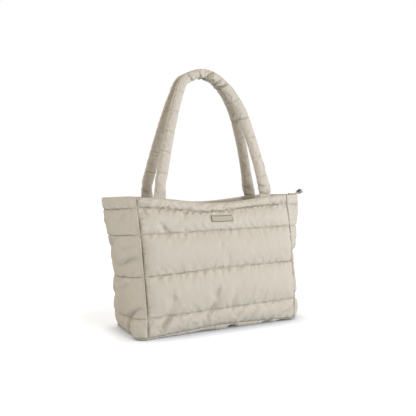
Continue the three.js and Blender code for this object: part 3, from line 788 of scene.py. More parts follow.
def clothMaterial(name, look):
    material, tree, shader = newMaterial(name)
    place = addNode(tree, "ShaderNodeTexCoord").outputs
    weave = addNode(tree, "ShaderNodeGroup", node_tree=weaveGroup)
    fillInputs(tree, weave, {"Place": place["UV"], "Thread": look["thread"]})
    crumple = addNode(tree, "ShaderNodeGroup", node_tree=crumpleGroup)
    fillInputs(tree, crumple, {"Place": place["Object"], "Size": look["creases"]})
    blotches = noiseNode(tree, place["Object"], look["blotches"], 4)
    tone = mixNode(tree, mathNode(tree, "ADD", blotches, 0.1), look["dark"], look["light"])
    # The seam attribute is painted shade: it darkens the cloth in seams, puckers, folds and near the ground
    seam = addNode(tree, "ShaderNodeAttribute", attribute_name="seam").outputs["Fac"]
    paintedSeamShade = [whole * share for whole, share in zip(look["dark"], look["seamShadeFactor"])]
    deep = bumpNode(tree, crumple.outputs["Height"], look["creaseDepth"], 0.6)
    looks = {
        "Base Color": mixNode(tree, seam, tone, paintedSeamShade),
        "Roughness": look["roughness"],
        "Sheen Weight": look["sheen"],
        "Sheen Roughness": 0.45,
        "Normal": bumpNode(tree, weave.outputs["Height"], look["weaveDepth"], 0.5, deep),
    }
    fillInputs(tree, shader, looks)
    return material


puffer = clothMaterial("puffer cloth", fabricLook)
strapCloth = clothMaterial("strap cloth", strapLook)
tapeCloth = clothMaterial("zip tape", tapeLook)
print("fabric ready")


def rowPlaces(points):
    # How far up the cloth each row lies
    rises = np.linalg.norm(np.diff(points, axis=0), axis=-1).mean(axis=1)
    return np.concatenate([[0], np.cumsum(rises)])[:, None]


def flatLengths(points):
    # Lengths across and up the cloth, for its weave
    steps = np.linalg.norm(np.diff(points, axis=1), axis=-1)
    x = np.concatenate([np.zeros((len(points), 1)), np.cumsum(steps, axis=1)], axis=1)
    return evenGrid(x - x[:, -1:] / 2, rowPlaces(points))


def finishPiece(thing, material, nodes, body="bag"):
    thing.data.materials.clear()
    thing.data.materials.append(material)
    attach(thing, body)
    if nodes:
        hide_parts(*nodes)


# Detail that is finer than the puffed cloth
creaseLook = {
    "groove": (0.001, 0.0014, 0.0014, 0.0012, 0.0019),  # depth of each stitch line
    "grooveWidth": (0.0018, 0.0018, 0.0018, 0.0018, 0.002),
    "tone": (0.6, 0.6, 0.78, 0.5, 0.85),  # how dark the cloth is painted in each line: painted shade in its groove
    "shadeWidth": 0.0011,
    "pucker": (0.0009, 0.0007, 0.0009, 0.0006, 0.0015),  # beside each stitch line
    "puckerReach": (0.007, 0.0045, 0.0055, 0.0045, 0.0075),
    "lean": (0.3, 0.2, 0.1, 0.1, -0.8),  # how far the puckers slant
    "puckerPasses": 3,
    "scallopPasses": 7,
    "sidePucker": 0.0014,  # beside an upright seam
    "sideReach": 0.007,
    "tuck": 0.0024,  # a panel turns in at its side seams
    "tuckWidth": 0.003,
    "ridge": 0.0007,  # topstitched edge of a gusset
    "ridgeWidth": 0.0032,
    "ridgeGroove": 0.0003,
    "ease": 0.004,  # the detail fades out over this length beside the side seams
    # painted shade in the sharp folds
    "foldShade": 0.45,
    "darkestShadeDepth": 0.004,  # a fold this deep gets its darkest painted shade
    "waver": 0.0015,  # a sharp fold's line swings this far
    "panelShare": 0.65,  # of the puckers' depth
    "gussetShare": 0.75,
    "gussetGroove": 0.55,  # share of a stitch line's depth on a gusset
    # painted shade in the dents between puckers and beside a panel's side seams
    "puckerShade": 0.35,
    "sideShade": 0.3,
    "sideShadeWidth": 0.0018,  # width of the painted shade line down a panel's side seam
    "slant": 0.35,  # chance in how far the puckers slant
    "ridgeEdge": 0.0004,
}
# Sharp folds: both ends as shares of the half width and of the rim's height, depth and steep width in m
frontCreases = (
    (-0.95, 0.925, -0.88, 0.86, 0.0018, 0.0018),
    (0.95, 0.895, 0.85, 0.955, 0.0016, 0.0018),
    (-0.72, 0.36, -0.665, 0.25, 0.0016, 0.0024),
    (-0.74, 0.16, -0.83, 0.06, 0.0042, 0.0022),
    (-0.11, 0.37, -0.165, 0.25, 0.0026, 0.0022),
    (-0.165, 0.22, -0.285, 0.1, 0.0042, 0.0024),
    (-0.5, 0.15, -0.55, 0.07, 0.0018, 0.002),
    (0.73, 0.05, 0.99, 0.12, 0.0034, 0.0018),
    (-0.74, 0.79, -0.68, 0.757, 0.0026, 0.0018),
    (-0.96, 0.073, -0.81, 0.105, 0.0018, 0.002),
    (-0.48, 0.07, -0.39, 0.095, 0.0018, 0.002),
    (0.09, 0.27, 0.05, 0.17, 0.0018, 0.0024),
    (0.2, 0.17, 0.1, 0.06, 0.0026, 0.0024),
    (0.44, 0.16, 0.3, 0.06, 0.0022, 0.0024),
    (0.34, 0.33, 0.31, 0.2, 0.0012, 0.0024),
    (0.1, 0.86, 0.12, 0.77, 0.0009, 0.0026),
    (-0.28, 0.83, -0.25, 0.76, 0.0012, 0.002),
)
backCreases = (
    (-0.99, 0.13, -0.74, 0.05, 0.0034, 0.002),
    (0.64, 0.34, 0.68, 0.2, 0.0018, 0.0024),
    (0.2, 0.16, 0.3, 0.06, 0.0036, 0.0024),
    (-0.3, 0.3, -0.34, 0.2, 0.0018, 0.0024),
    (-0.5, 0.15, -0.58, 0.06, 0.0026, 0.0022),
    (0.86, 0.94, 0.95, 0.88, 0.0016, 0.002),
    (-0.86, 0.94, -0.95, 0.88, 0.0016, 0.002),
)
gussetCreases = (
    (-0.15, 0.69, 0.5, 0.6, 0.0036, 0.0026),
    (0.55, 0.66, 0.2, 0.56, 0.0026, 0.0026),
    (-0.95, 0.585, -0.1, 0.5, 0.0036, 0.0026),
    (-0.9, 0.66, -0.35, 0.63, 0.0016, 0.0024),
    (-0.95, 0.225, -0.2, 0.13, 0.0042, 0.0026),
    (-0.45, 0.17, -0.15, 0.03, 0.0044, 0.0026),
    (0.1, 0.34, 0.85, 0.25, 0.0034, 0.0028),
    (-0.8, 0.41, 0.0, 0.33, 0.0022, 0.0028),
    (-0.1, 0.83, 0.35, 0.775, 0.0024, 0.0026),
    (-0.75, 0.9, -0.35, 0.82, 0.0018, 0.0024),
    (0.75, 0.13, 0.4, 0.04, 0.003, 0.0024),
)
creases = {
    "front_panel": frontCreases,
    "back_panel": backCreases,
    "left_gusset": gussetCreases,
    "right_gusset": gussetCreases,
}


def doubled(grid):
    # Twice as many rows and columns, on a smooth curve through the old ones
    for axis in (0, 1):
        grid = np.moveaxis(grid, axis, 0)
        before = np.concatenate([2 * grid[:1] - grid[1:2], grid[:-2]])
        after = np.concatenate([grid[2:], 2 * grid[-1:] - grid[-2:-1]])
        middle = (9 * (grid[:-1] + grid[1:]) - before - after) / 16
        finer = np.empty((2 * len(grid) - 1, *grid.shape[1:]))
        finer[::2], finer[1::2] = grid, middle
        grid = np.moveaxis(finer, 0, axis)
    return grid


def gridNormals(points):
    return unit(np.cross(np.gradient(points, axis=1), np.gradient(points, axis=0)))


def sharpFolds(table, x, z, halfSpan):
    # Steep on the left of each fold's run and gentle on its right, with a soft rise beyond
    depthSum = 0 * x
    for t, away, _, depth, steep in eachFold(table, x, z, halfSpan):
        away = away + creaseLook["waver"] * np.sin(7 * t)
        ends = np.clip(1 - np.abs(2 * t - 1), 0, 1) ** 0.6
        valley = np.where(away < 0, np.exp(away / steep), np.exp(-away / (3 * steep)))
        rise = 0.5 * bell(away + 3.5 * steep, 2 * steep)
        depthSum += depth * ends * (valley - rise)
    return depthSum


def chanceLine(count, passes):
    line = chance.normal(0, 1, count)
    for _ in range(passes):
        line = (np.roll(line, 1) + 2 * line + np.roll(line, -1)) / 4
    return line / line.std()


def wallDetail(name, points, across, bay):
    # How far each point of the fine cloth moves out, and how much painted shade it gets for lying in a seam,
    # a pucker or a fold
    isPanel = walls[name][0] is panelBase
    look = creaseLook
    count = points.shape[1]
    width = lengthsAlong(points[0])[-1]
    spacing = width / (count - 1)
    place = rowPlaces(points)
    toSide = (1 - np.abs(across)) * width / 2
    free = 1 - bell(toSide, look["ease"])
    size = look["panelShare" if isPanel else "gussetShare"]
    move = 0 * across
    seam = 0 * across
    for k in range(5):
        above = place - place[np.argmax(bay[:, 0] == k)]
        scallops = chanceLine(count, look["scallopPasses"])[None, :]
        depth = look["groove"][k] * (1 if isPanel else look["gussetGroove"])
        move -= depth * bell(above, look["grooveWidth"][k]) * free * (1 + 0.35 * np.clip(scallops, -1.5, 1.5))
        # painted shade in the stitch line's groove, uneven along its scallops
        tone = np.clip(look["tone"][k] * (0.6 + 0.38 * np.clip(scallops, -1.3, 1.3)), 0, 1)
        seam = np.maximum(seam, tone * bell(above, look["shadeWidth"]))
        for sign in (1, -1):
            puckers = chanceLine(count, look["puckerPasses"]) + 0.8 * scallops[0]
            reach = look["puckerReach"][k] * (0.7 + 0.4 * np.abs(chanceLine(count, 6)))
            away = sign * above
            lean = look["lean"][k] * sign + chanceLine(count, 40) * look["slant"]
            shifted = np.arange(count)[None, :] + lean * away / spacing
            value = np.interp(np.clip(shifted, 0, count - 1), np.arange(count), puckers)
            fade = np.where(away >= 0, bell(away, reach), 0) * np.clip(away / 0.0016, 0.25, 1)
            move += size * look["pucker"][k] * value * fade * free
            # painted shade in the dents between puckers
            low = np.clip(-value - 0.5, 0, 1)
            seam = np.maximum(seam, look["puckerShade"] * look["tone"][k] * low * fade)
    if isPanel:
        for hand in (-1, 1):
            puckers = chanceLine(len(points), 3)[:, None]
            fade = bell((1 - hand * across) * width / 2, look["sideReach"])
            move += look["sidePucker"] * puckers * fade * free
            # painted shade in the dents beside the side seam
            seam = np.maximum(seam, look["sideShade"] * np.clip(-puckers - 0.3, 0, 1) * fade)
        move -= look["tuck"] * bell(toSide, look["tuckWidth"])
        # a painted shade line down the side seam
        sway = 0.42 + 0.25 * chanceLine(len(points), 4)[:, None]
        seam = np.maximum(seam, np.clip(sway, 0.2, 0.8) * bell(toSide, look["sideShadeWidth"]))
    else:
        plateau = 1 / (1 + np.exp((toSide - look["ridgeWidth"]) / look["ridgeEdge"]))
        move += look["ridge"] * plateau * (1 - 0.6 * bell(toSide, 0.001))
        move -= look["ridgeGroove"] * bell(toSide - look["ridgeWidth"] - 0.0012, 0.0012)
    half = bodySize["topWidth" if isPanel else "depth"] / 2
    folds = sharpFolds(creases[name], across * half, points[..., 2], half)
    move -= folds * free
    # painted shade in the sharp folds
    seam = np.maximum(seam, look["foldShade"] * np.clip(folds / look["darkestShadeDepth"], 0, 1) ** 1.5)
    move *= np.minimum(np.clip((place[-1] - place) / 0.003, 0, 1), np.clip(place / 0.002, 0, 1))
    if name == "front_panel":
        smooth = ~underLabel(points[..., 0], points[..., 2])
        return move * smooth, seam * smooth
    return move, seam


def makeWall(name):
    outside, inside, normal, _, _ = wallPoints[name]
    turned = name in turnedWalls
    off = np.sum((settled[name] - outside) * normal, -1)
    off = np.clip(off, -wallCut["mostIn"], wallCut["mostOut"]) - off
    outer = doubled(settled[name] + normal * off[..., None])
    inner = doubled(inside)
    rows, columns = outer.shape[:2]
    fineBays = np.repeat(rowBays, 2, axis=0)[:-1]
    move, seam = wallDetail(name, outer, np.linspace(-1, 1, columns)[None, :] + 0 * fineBays, fineBays)
    normals = gridNormals(outer) * (-1 if turned else 1)
    thickness = np.sum((outer - inner) * normals, -1)
    outer += normals * np.maximum(move, wallCut["thinnest"] - thickness)[..., None]
    kept = np.unique([*range(0, rows - 1, wallCut["innerStep"]), rows - 3, rows - 2, rows - 1])
    inner = inner[kept]
    count = rows * columns
    outerAt = np.arange(count).reshape(rows, columns)
    innerAt = np.arange(len(kept) * columns).reshape(len(kept), columns) + count
    faces = gridFaces(rows, columns).tolist() + (gridFaces(len(kept), columns)[:, ::-1] + count).tolist()
    for row, turn in ((0, 1), (-1, -1)):
        above, below = outerAt[row], innerAt[row]
        faces += np.stack([above[1:], above[:-1], below[:-1], below[1:]], -1)[:, ::turn].tolist()
    for column, turn in ((0, 1), (-1, -1)):
        for k in range(len(kept) - 1):
            run = outerAt[kept[k] : kept[k + 1] + 1, column].tolist()
            faces.append([*run, innerAt[k + 1, column], innerAt[k, column]][::turn])
    if turned:
        faces = [face[::-1] for face in faces]
    uv = np.vstack([flatLengths(outer).reshape(-1, 2), flatLengths(inner).reshape(-1, 2)])
    points = np.vstack([outer.reshape(-1, 3), inner.reshape(-1, 3)])
    thing = makeMesh(name.replace("_", "") + "Quilt", points, faces, uv)
    # the cloth's painted shade in seams, puckers and folds
    paintSeamShade(thing, seam)
    finishPiece(thing, puffer, [name])
    return outer


fineWalls = {name: makeWall(name) for name in walls}
print("walls sewn")


# Base: a filled floor whose edge is sewn to the walls
baseSize = {
    "wall": 0.01,
    "tuck": 0.006,
    "puff": 0.0016,
    "edgeSteps": 10,
    "gutter": 0.002,
    "wrinkle": 0.0009,
    "capRings": 9,
    "innerSpan": 0.018,
    # painted shade: on the hem below the walls' seam, and darker towards the ground and under the base
    "paintedSeamShade": 0.6,
    "groundShade": 0.55,
}
# Where the front edge lifts off the ground: middle, half width, height
baseLifts = ((0.022, 0.014, 0.0085), (0.12, 0.012, 0.0065), (0.172, 0.02, 0.004), (-0.05, 0.03, 0.0025))


def roundEdge(lines):
    # One closed line round the bag: front, right, back and left
    front, right = lines["front_panel"], lines["right_gusset"]
    back, left = lines["back_panel"], lines["left_gusset"]
    edge = np.vstack([front, right[1:-1], back[::-1], left[::-1][1:-1]])
    edge[:, 2] -= bodySize["gap"]
    return edge


def makeBase():
    size = baseSize
    edge = roundEdge({name: outer[0] for name, outer in fineWalls.items()})
    count = len(edge)
    inwards = -edge * (2 / bodySize["bottomWidth"], 2 / bodySize["depth"], 0)
    wrinkles = chanceLine(count, 3) * size["wrinkle"]
    fineWrinkles = chanceLine(count, 1) * size["wrinkle"] * 0.5
    lift = 0 * wrinkles
    for x, half, height in baseLifts:
        lift += height * np.exp(-(((edge[:, 0] - x) / half) ** 4)) * (edge[:, 1] < 0)
    lift = np.minimum(lift, edge[:, 2] * 0.8)
    rings = []
    for share in np.linspace(0, 1, size["edgeSteps"] + 1):
        out = size["puff"] * np.sin(np.pi * share**0.8) - size["tuck"] * share**2
        sway = wrinkles * np.sin(np.pi * share) + fineWrinkles * np.sin(2 * np.pi * share)
        ring = edge + inwards * (sway - out)[:, None]
        ring[:, 2] = edge[:, 2] * (1 - share) ** 0.8 + lift * share * (1 - (1 - share) ** 3)
        rings.append(ring)
    capShares = np.arange(1, size["capRings"]) / size["capRings"]
    ground = rings[-1]
    for share in capShares:
        ring = ground * (1 - share, 1 - share, 0)
        ring[:, 2] = lift * np.exp(-share * 3) * (1 - share)
        rings.append(ring)
    insideEdge = roundEdge({name: doubled(wallPoints[name][1])[0] for name in walls})
    innerRings = [insideEdge]
    for reach, lower in ((0.4, size["gutter"]), (1, 0)):
        ring = insideEdge + inwards * size["innerSpan"] * reach
        ring[:, 2] = size["wall"] - lower
        innerRings.append(ring)
    pad = innerRings[-1]
    innerRings += [pad * (1 - share, 1 - share, 1) for share in capShares]
    allRings = rings[::-1] + innerRings
    rows = len(allRings)
    points = np.vstack([*allRings, [(0, 0, 0)], [(0, 0, size["wall"])]])
    faces = tubeFaces(rows, count)[:-2]
    bottomMiddle, topMiddle, last = rows * count, rows * count + 1, (rows - 1) * count
    for k in range(count):
        following = (k + 1) % count
        faces.append([bottomMiddle, following, k])
        faces.append([topMiddle, last + k, last + following])
    thing = makeMesh("bottomQuilt", points, faces, points[:, :2])
    steps = np.linspace(0, 1, size["edgeSteps"] + 1)
    # painted shade: dark on the hem, darker towards the ground, darkest under the base
    paintedShades = size["paintedSeamShade"] * bell(steps, 0.15) + size["groundShade"] * smoothStep(steps, 0.7, 1)
    paintedShades = np.concatenate([np.full(size["capRings"] - 1, paintedShades[-1]), paintedShades[::-1]])
    paintSeamShade(thing, np.repeat(paintedShades, count))
    finishPiece(thing, puffer, ["bottom_panel"])


makeBase()
print("base sewn")


# Creases across a strap: share of its length, tilt, depth, half width, reach round it from the inner edge
strapCreases = (
    (0.438, -0.3, 0.002, 0.0024, 2.6),
    (0.472, -0.1, 0.0018, 0.0022, 2.6),
    (0.488, 1.2, 0.0042, 0.003, 2.9),
    (0.5, 1.2, 0.0022, 0.0022, 2.4),
    (0.546, 0.3, 0.0018, 0.0022, 2.6),
    (0.566, 0.5, 0.003, 0.0026, 2.7),
    (0.7, 0.1, 0.0014, 0.0026, 1.9),
    (0.955, 0.5, 0.0022, 0.0026, 2.4),
    (0.93, 0.4, 0.0014, 0.0024, 2.2),
)


def makeStrap(name):
    _, along, _, fill, _ = strapParts[name]
    size = strapSize
    placed = settled[name]
    wrapped = np.concatenate([placed[:, -3:], placed, placed[:, :3]], axis=1)
    fine = doubled(wrapped)[:, 6 : 6 + 2 * placed.shape[1]]
    rows, columns = fine.shape[:2]
    run = np.linspace(0, 1, rows)[:, None]
    angle = 2 * np.pi * (np.arange(columns)[None, :] / 2 + 0.5) / size["sides"]
    angle = (angle + np.pi) % (2 * np.pi) - np.pi
    length = along[-1]
    normals = unit(np.cross(np.roll(fine, -1, 1) - np.roll(fine, 1, 1), np.gradient(fine, axis=0)))
    move = 0 * run * angle
    creaseShadeMask = 0 * move
    shift = 0 if name == "front_handle" else size["backCreases"]
    for place, tilt, depth, width, reach in strapCreases:
        away = (run - place - shift) * length - tilt * np.abs(angle) * size["creaseSlant"]
        fade = np.clip(1 - (np.abs(angle) / reach) ** 2, 0, 1)
        rise = 0.35 * bell(np.abs(away) - 2.6 * width, 1.4 * width)
        move -= depth * fade * (np.exp(-np.abs(away) / width) - rise)
        # painted shade in each crease, darker for a deeper one
        tone = min(1, depth / size["darkestShadeDepth"])
        creaseShadeMask = np.maximum(creaseShadeMask, fade**0.6 * bell(away, width) * tone)
    crossSeam = bell(toCrossSeam(run * length, length), size["stitchWidth"]) + 0 * angle
    move -= size["stitchDepth"] * crossSeam
    # painted shade in the cross seam's groove
    mask = size["stitchShade"] * crossSeam
    for seam in (size["seamAngle"], -size["seamAngle"]):
        away = (angle - seam) / size["seamWidth"]
        move -= size["seamDepth"] * (bell(away, 1) - 0.5 * bell(away - 1.8, 1))
        # painted shade in the side seam's groove
        mask = np.maximum(mask, size["paintedSeamShade"] * bell(away, 1))
    free = smoothStep(np.repeat(fill, 2, axis=0)[:-1].repeat(2, axis=1), 0.3, 0.9)
    fine += normals * (move * free)[..., None]
    around = np.linspace(0, size["width"] * size["clothAround"], columns)
    uv = evenGrid(around, run * length)
    thing = makeMesh(name.replace("_", "") + "Strap", fine, tubeFaces(rows, columns), uv)
    # the painted shade goes into the strap's colour
    paintSeamShade(thing, np.maximum(mask * free, size["creaseShade"] * creaseShadeMask))
    finishPiece(thing, strapCloth, [name])
    return fine


fineStraps = {name: makeStrap(name) for name in strapParts}
print("straps filled")


# Zip tapes, sewn along the inside of the rim and round the roots of the straps
tapeSize = {
    "width": 0.018,
    "thickness": 0.0018,
    "belowRim": 0.0015,
    "ramp": 0.009,
    "panelSteps": 150,
    "gussetSteps": 24,
    "rows": 6,
    "edge": 0.0005,
}


def tapeStation(face, hand, across, drop):
    # Place and outward direction on the rim's seam line at a drop below it
    rim = bodySize["rimHeight"]
    if hand:
        z = rim - drop
        side = across + 0 * z
        return gussetBase(hand, side, z), outwards(gussetBase, hand, side, z)
    z = rimAt(across * halfWidth(rim)) - drop
    side = across + 0 * z
    return panelBase(face, side, z), outwards(panelBase, face, side, z)


def makeTape(name, node, face):
    size = tapeSize
    rim = bodySize["rimHeight"]
    shift = strapSize["backShift"] if face > 0 else 0
    legs = [x * strapSize["span"] / 2 + shift for x in (strapLine[0][0], strapLine[-1][0])]
    drops = size["belowRim"] + size["width"] * np.linspace(0, 1, size["rows"] + 1)
    halfGusset = np.linspace(0.2, 1, size["gussetSteps"], endpoint=False) * face
    path = [(-1, s) for s in halfGusset]
    path += [(0, u) for u in np.linspace(-1, 1, size["panelSteps"] + 1)]
    path += [(1, s) for s in halfGusset[::-1]]
    rings = []
    for hand, across in path:
        if hand == 0 and abs(across) == 1:
            at, mitre, spread = seamFrame(across, face, rim - drops, True)
            normal = mitre * spread[:, None]
        else:
            at, normal = tapeStation(face, hand, across, drops)
        nearest = np.min([np.abs(at[:, 0] - leg) for leg in legs], axis=0)
        over = 1 - np.clip((nearest - strapSize["width"] / 2) / size["ramp"], 0, 1)
        root = over * (strapSize["rootThickness"] + 2 * bodySize["gap"])
        depth = (bodySize["seamWall"] + bodySize["gap"] + root)[:, None]
        openSide = at - normal * (depth + size["thickness"])
        rings.append(np.vstack([at - normal * depth, openSide[::-1]]))
    rings = np.array(rings)
    faces = tubeFaces(*rings.shape[:2])
    if face > 0:
        faces = [ring[::-1] for ring in faces]
    heights = np.arange(size["rows"] + 1) * 0.003
    uv = evenGrid(np.concatenate([heights, heights[::-1]]), lengthsAlong(rings[:, 0])[:, None])
    thing = makeMesh(name, rings, faces, uv)
    breakEdges(thing, size["edge"], 2, 50)
    finishPiece(thing, tapeCloth, [node])
    low = size["rows"]
    return (rings[:, low] + rings[:, low + 1]) / 2


tapeEdges = [makeTape("zipTapeFront", "zip_tape_front", -1), makeTape("zipTapeBack", "zip_tape_back", 1)]
print("zip tapes sewn")


# Rows of stitches and of zip coils: beads laid along lines
stitchLook = {
    "stitches": {"Pitch": 0.0037, "Length": 0.0029, "Thickness": 0.0006},
    "coils": {"Pitch": 0.0016, "Length": 0.0011, "Thickness": 0.0026},
    "stand": 0.0001,
    "aboveRim": 0.02,  # a strap's cross seams begin this far above the rim
    "thread": (0.22, 0.19, 0.145),
    "nylon": (0.42, 0.38, 0.31),
}


def makeBeadTree():
    sizes = [(label, "NodeSocketFloat", value) for label, value in stitchLook["stitches"].items()]
    inputs = [("Geometry", "NodeSocketGeometry", None), *sizes, ("Material", "NodeSocketMaterial", None)]
    outputs = [("Geometry", "NodeSocketGeometry")]
    tree, given, result = newGroup("bead row", "GeometryNodeTree", inputs, outputs)
    given = given.outputs
    curve = addNode(tree, "GeometryNodeMeshToCurve", {"Mesh": given["Geometry"]})
    pitch = {"Curve": curve.outputs["Curve"], "Length": given["Pitch"]}
    even = addNode(tree, "GeometryNodeResampleCurve", pitch, mode="LENGTH")
    ball = addNode(tree, "GeometryNodeMeshUVSphere", {"Segments": 6, "Rings": 4, "Radius": 0.5})
    span = {"X": given["Thickness"], "Y": given["Thickness"], "Z": given["Length"]}
    scale = addNode(tree, "ShaderNodeCombineXYZ", span).outputs[0]
    shaped = addNode(tree, "GeometryNodeTransform", {"Geometry": ball.outputs["Mesh"], "Scale": scale})
    soft = addNode(tree, "GeometryNodeSetShadeSmooth", {"Geometry": shaped.outputs["Geometry"]})
    tangent = addNode(tree, "GeometryNodeInputTangent").outputs["Tangent"]
    turn = addNode(tree, "FunctionNodeAlignRotationToVector", {"Vector": tangent}, axis="Z")
    laid = {
        "Points": even.outputs["Curve"],
        "Instance": soft.outputs["Geometry"],
        "Rotation": turn.outputs["Rotation"],
    }
    rows = addNode(tree, "GeometryNodeInstanceOnPoints", laid).outputs["Instances"]
    real = addNode(tree, "GeometryNodeRealizeInstances", {"Geometry": rows}).outputs["Geometry"]
    paint = addNode(tree, "GeometryNodeSetMaterial", {"Geometry": real, "Material": given["Material"]})
    fillInputs(tree, result, {"Geometry": paint.outputs["Geometry"]})
    return tree


beadTree = makeBeadTree()


def makeBeads(name, lines, sizes, material):
    mesh = bpy.data.meshes.new(name)
    points = np.vstack(lines)
    ends = np.cumsum([len(line) for line in lines])
    edges = [(k, k + 1) for k in range(len(points) - 1) if k + 1 not in ends]
    mesh.from_pydata(points.tolist(), edges, [])
    thing = bpy.data.objects.new(name, mesh)
    bpy.context.scene.collection.objects.link(thing)
    row = thing.modifiers.new("row", "NODES")
    row.node_group = beadTree
    inputs = [item for item in beadTree.interface.items_tree if item.in_out == "INPUT"]
    sockets = {item.name: item.identifier for item in inputs}
    for label, value in (*sizes.items(), ("Material", material)):
        row[sockets[label]] = value
    bakeModifiers(thing)
    finishPiece(thing, material, [])


def threadMaterial(name, color, roughness):
    material, tree, shader = newMaterial(name)
    grain = noiseNode(tree, addNode(tree, "ShaderNodeTexCoord").outputs["Object"], 900)
    darker = [0.75 * part for part in color]
    looks = {
        "Base Color": mixNode(tree, grain, (*darker, 1), (*color, 1)),
        "Roughness": roughness,
        "Normal": bumpNode(tree, grain, 0.0001),
    }
    fillInputs(tree, shader, looks)
    return material


def stitchPaths():
    lines = []
    for name, outer in fineWalls.items():
        normals = gridNormals(outer) * (-1 if name in turnedWalls else 1)
        for row in 2 * np.cumsum(wallCut["bayRows"][:-1]):
            lines.append((outer[row] + normals[row] * stitchLook["stand"])[3:-3])
    for name, fine in fineStraps.items():
        length = strapParts[name][1][-1]
        away = np.abs(toCrossSeam(np.linspace(0, 1, len(fine)) * length, length))
        onSeam = (away < np.roll(away, 1)) & (away <= np.roll(away, -1))
        isFree = fine[..., 2].min(axis=1) > bodySize["rimHeight"] + stitchLook["aboveRim"]
        half = fine.shape[1] // 2
        for row in np.flatnonzero(onSeam & isFree):
            for start in (0, half):
                ring = fine[row, start + 3 : start + half - 3]
                lines.append(ring + unit(ring - fine[row].mean(axis=0)) * stitchLook["stand"])
    return lines


thread = threadMaterial("thread", stitchLook["thread"], 0.6)
coilNylon = threadMaterial("coil nylon", stitchLook["nylon"], 0.4)
makeBeads("stitches", stitchPaths(), stitchLook["stitches"], thread)
makeBeads("zipCoils", tapeEdges, stitchLook["coils"], coilNylon)
print("stitches and coils laid")


# Label: a bare patch with a pressed border
labelLook = {
    "thickness": 0.0012,
    "corner": 0.0012,
    "border": 0.0019,
    "pressed": 0.00035,
    "edgeShare": 0.45,  # of the thickness, at the patch's own edge
    "columns": 96,
    "rows": 30,
    "field": (0.5, 0.47, 0.39, 1),
    "shade": (0.46, 0.43, 0.35, 1),
    "line": (0.25, 0.225, 0.17, 1),
    "thread": 0.0008,
}


def labelMaterial():
    material, tree, shader = newMaterial("label patch")
    place = addNode(tree, "ShaderNodeTexCoord").outputs
    split = addNode(tree, "ShaderNodeSeparateXYZ", {0: place["UV"]})
    inside = []
    for axis, side in (("X", "width"), ("Y", "height")):
        away = mathNode(tree, "ABSOLUTE", split.outputs[axis])
        inside.append(mathNode(tree, "SUBTRACT", away, labelSize[side] / 2 - labelLook["border"]))
    mask = mathNode(tree, "MULTIPLY_ADD", mathNode(tree, "MAXIMUM", *inside), 3500, 0.5, clamp=True)
    weave = addNode(tree, "ShaderNodeGroup", node_tree=weaveGroup)
    fillInputs(tree, weave, {"Place": place["UV"], "Thread": labelLook["thread"]})
    field = mixNode(tree, noiseNode(tree, place["Object"], 90), labelLook["field"], labelLook["shade"])
    looks = {
        "Base Color": mixNode(tree, mask, field, labelLook["line"]),
        "Roughness": 0.5,
        "Normal": bumpNode(tree, weave.outputs["Height"], 0.0001),
    }
    fillInputs(tree, shader, looks)
    return material


def makeLabel():
    size, look = labelSize, labelLook
    cloth = fineWalls["front_panel"]
    columns = cloth.shape[1]
    x = np.linspace(-0.5, 0.5, look["columns"] + 1) * size["width"]
    up = np.linspace(-0.5, 0.5, look["rows"] + 1) * size["height"]
    place = (x / halfWidth(bodySize["rimHeight"]) + 1) / 2 * (columns - 1)
    front = np.zeros((look["rows"] + 1, look["columns"] + 1, 3))
    for k, column in enumerate(place):
        low = int(column)
        strip = cloth[:, low] * (1 - column + low) + cloth[:, low + 1] * (column - low)
        z = labelTop(x[k]) - size["height"] / 2 + up
        front[:, k, 0] = x[k]
        front[:, k, 1] = np.interp(z, strip[:, 2], strip[:, 1]) - size["gap"]
        front[:, k, 2] = z
    back = front.copy()
    toEdge = np.minimum(size["width"] / 2 - np.abs(x), (size["height"] / 2 - np.abs(up))[:, None])
    rounded = np.sqrt(np.clip(1 - (1 - np.clip(toEdge / look["corner"], 0, 1)) ** 2, 0, 1))
    pressed = bell(toEdge - look["border"] * 1.4, look["border"] * 0.4)
    full = look["edgeShare"] + (1 - look["edgeShare"]) * rounded
    front[..., 1] -= look["thickness"] * full - look["pressed"] * pressed
    rows, count = front.shape[:2]
    at = np.arange(rows * count).reshape(rows, count)
    border = np.concatenate([at[0, :-1], at[:-1, -1], at[-1, :0:-1], at[:0:-1, 0]])
    following = np.roll(border, -1)
    total = rows * count
    faces = gridFaces(rows, count).tolist()
    faces += (gridFaces(rows, count)[:, ::-1] + total).tolist()
    faces += np.stack([following, border, border + total, following + total], -1).tolist()
    uv = np.vstack([evenGrid(x, up[:, None]).reshape(-1, 2)] * 2)
    points = np.vstack([front.reshape(-1, 3), back.reshape(-1, 3)])
    thing = makeMesh("labelPatch", points, faces, uv)
    finishPiece(thing, labelMaterial(), ["label_patch"])


makeLabel()
print("label sewn on")


# Slider, pull and end tab: the cast and cut pieces with their edges broken
castLook = {"color": (0.075, 0.07, 0.066, 1), "worn": (0.22, 0.21, 0.2, 1), "roughness": 0.32}


def metalMaterial():
    material, tree, shader = newMaterial("gunmetal")
    grain = noiseNode(tree, addNode(tree, "ShaderNodeTexCoord").outputs["Object"], 260, 5)
    looks = {
        "Base Color": mixNode(tree, grain, castLook["color"], castLook["worn"]),
        "Metallic": 0.85,
        "Roughness": mathNode(tree, "MULTIPLY_ADD", grain, 0.25, castLook["roughness"] - 0.1),
        "Normal": bumpNode(tree, grain, 0.00005),
    }
    fillInputs(tree, shader, looks)
    return material


def soften(node, name, width, material, body):
    source = bpy.data.objects[node]
    thing = bpy.data.objects.new(name, source.data.copy())
    bpy.context.scene.collection.objects.link(thing)
    weld = thing.modifiers.new("weld", "WELD")
    weld.merge_threshold = 0.00001
    breakEdges(thing, width, 3, 40)
    thing.data.polygons.foreach_set("use_smooth", [True] * len(thing.data.polygons))
    finishPiece(thing, material, [node], body)


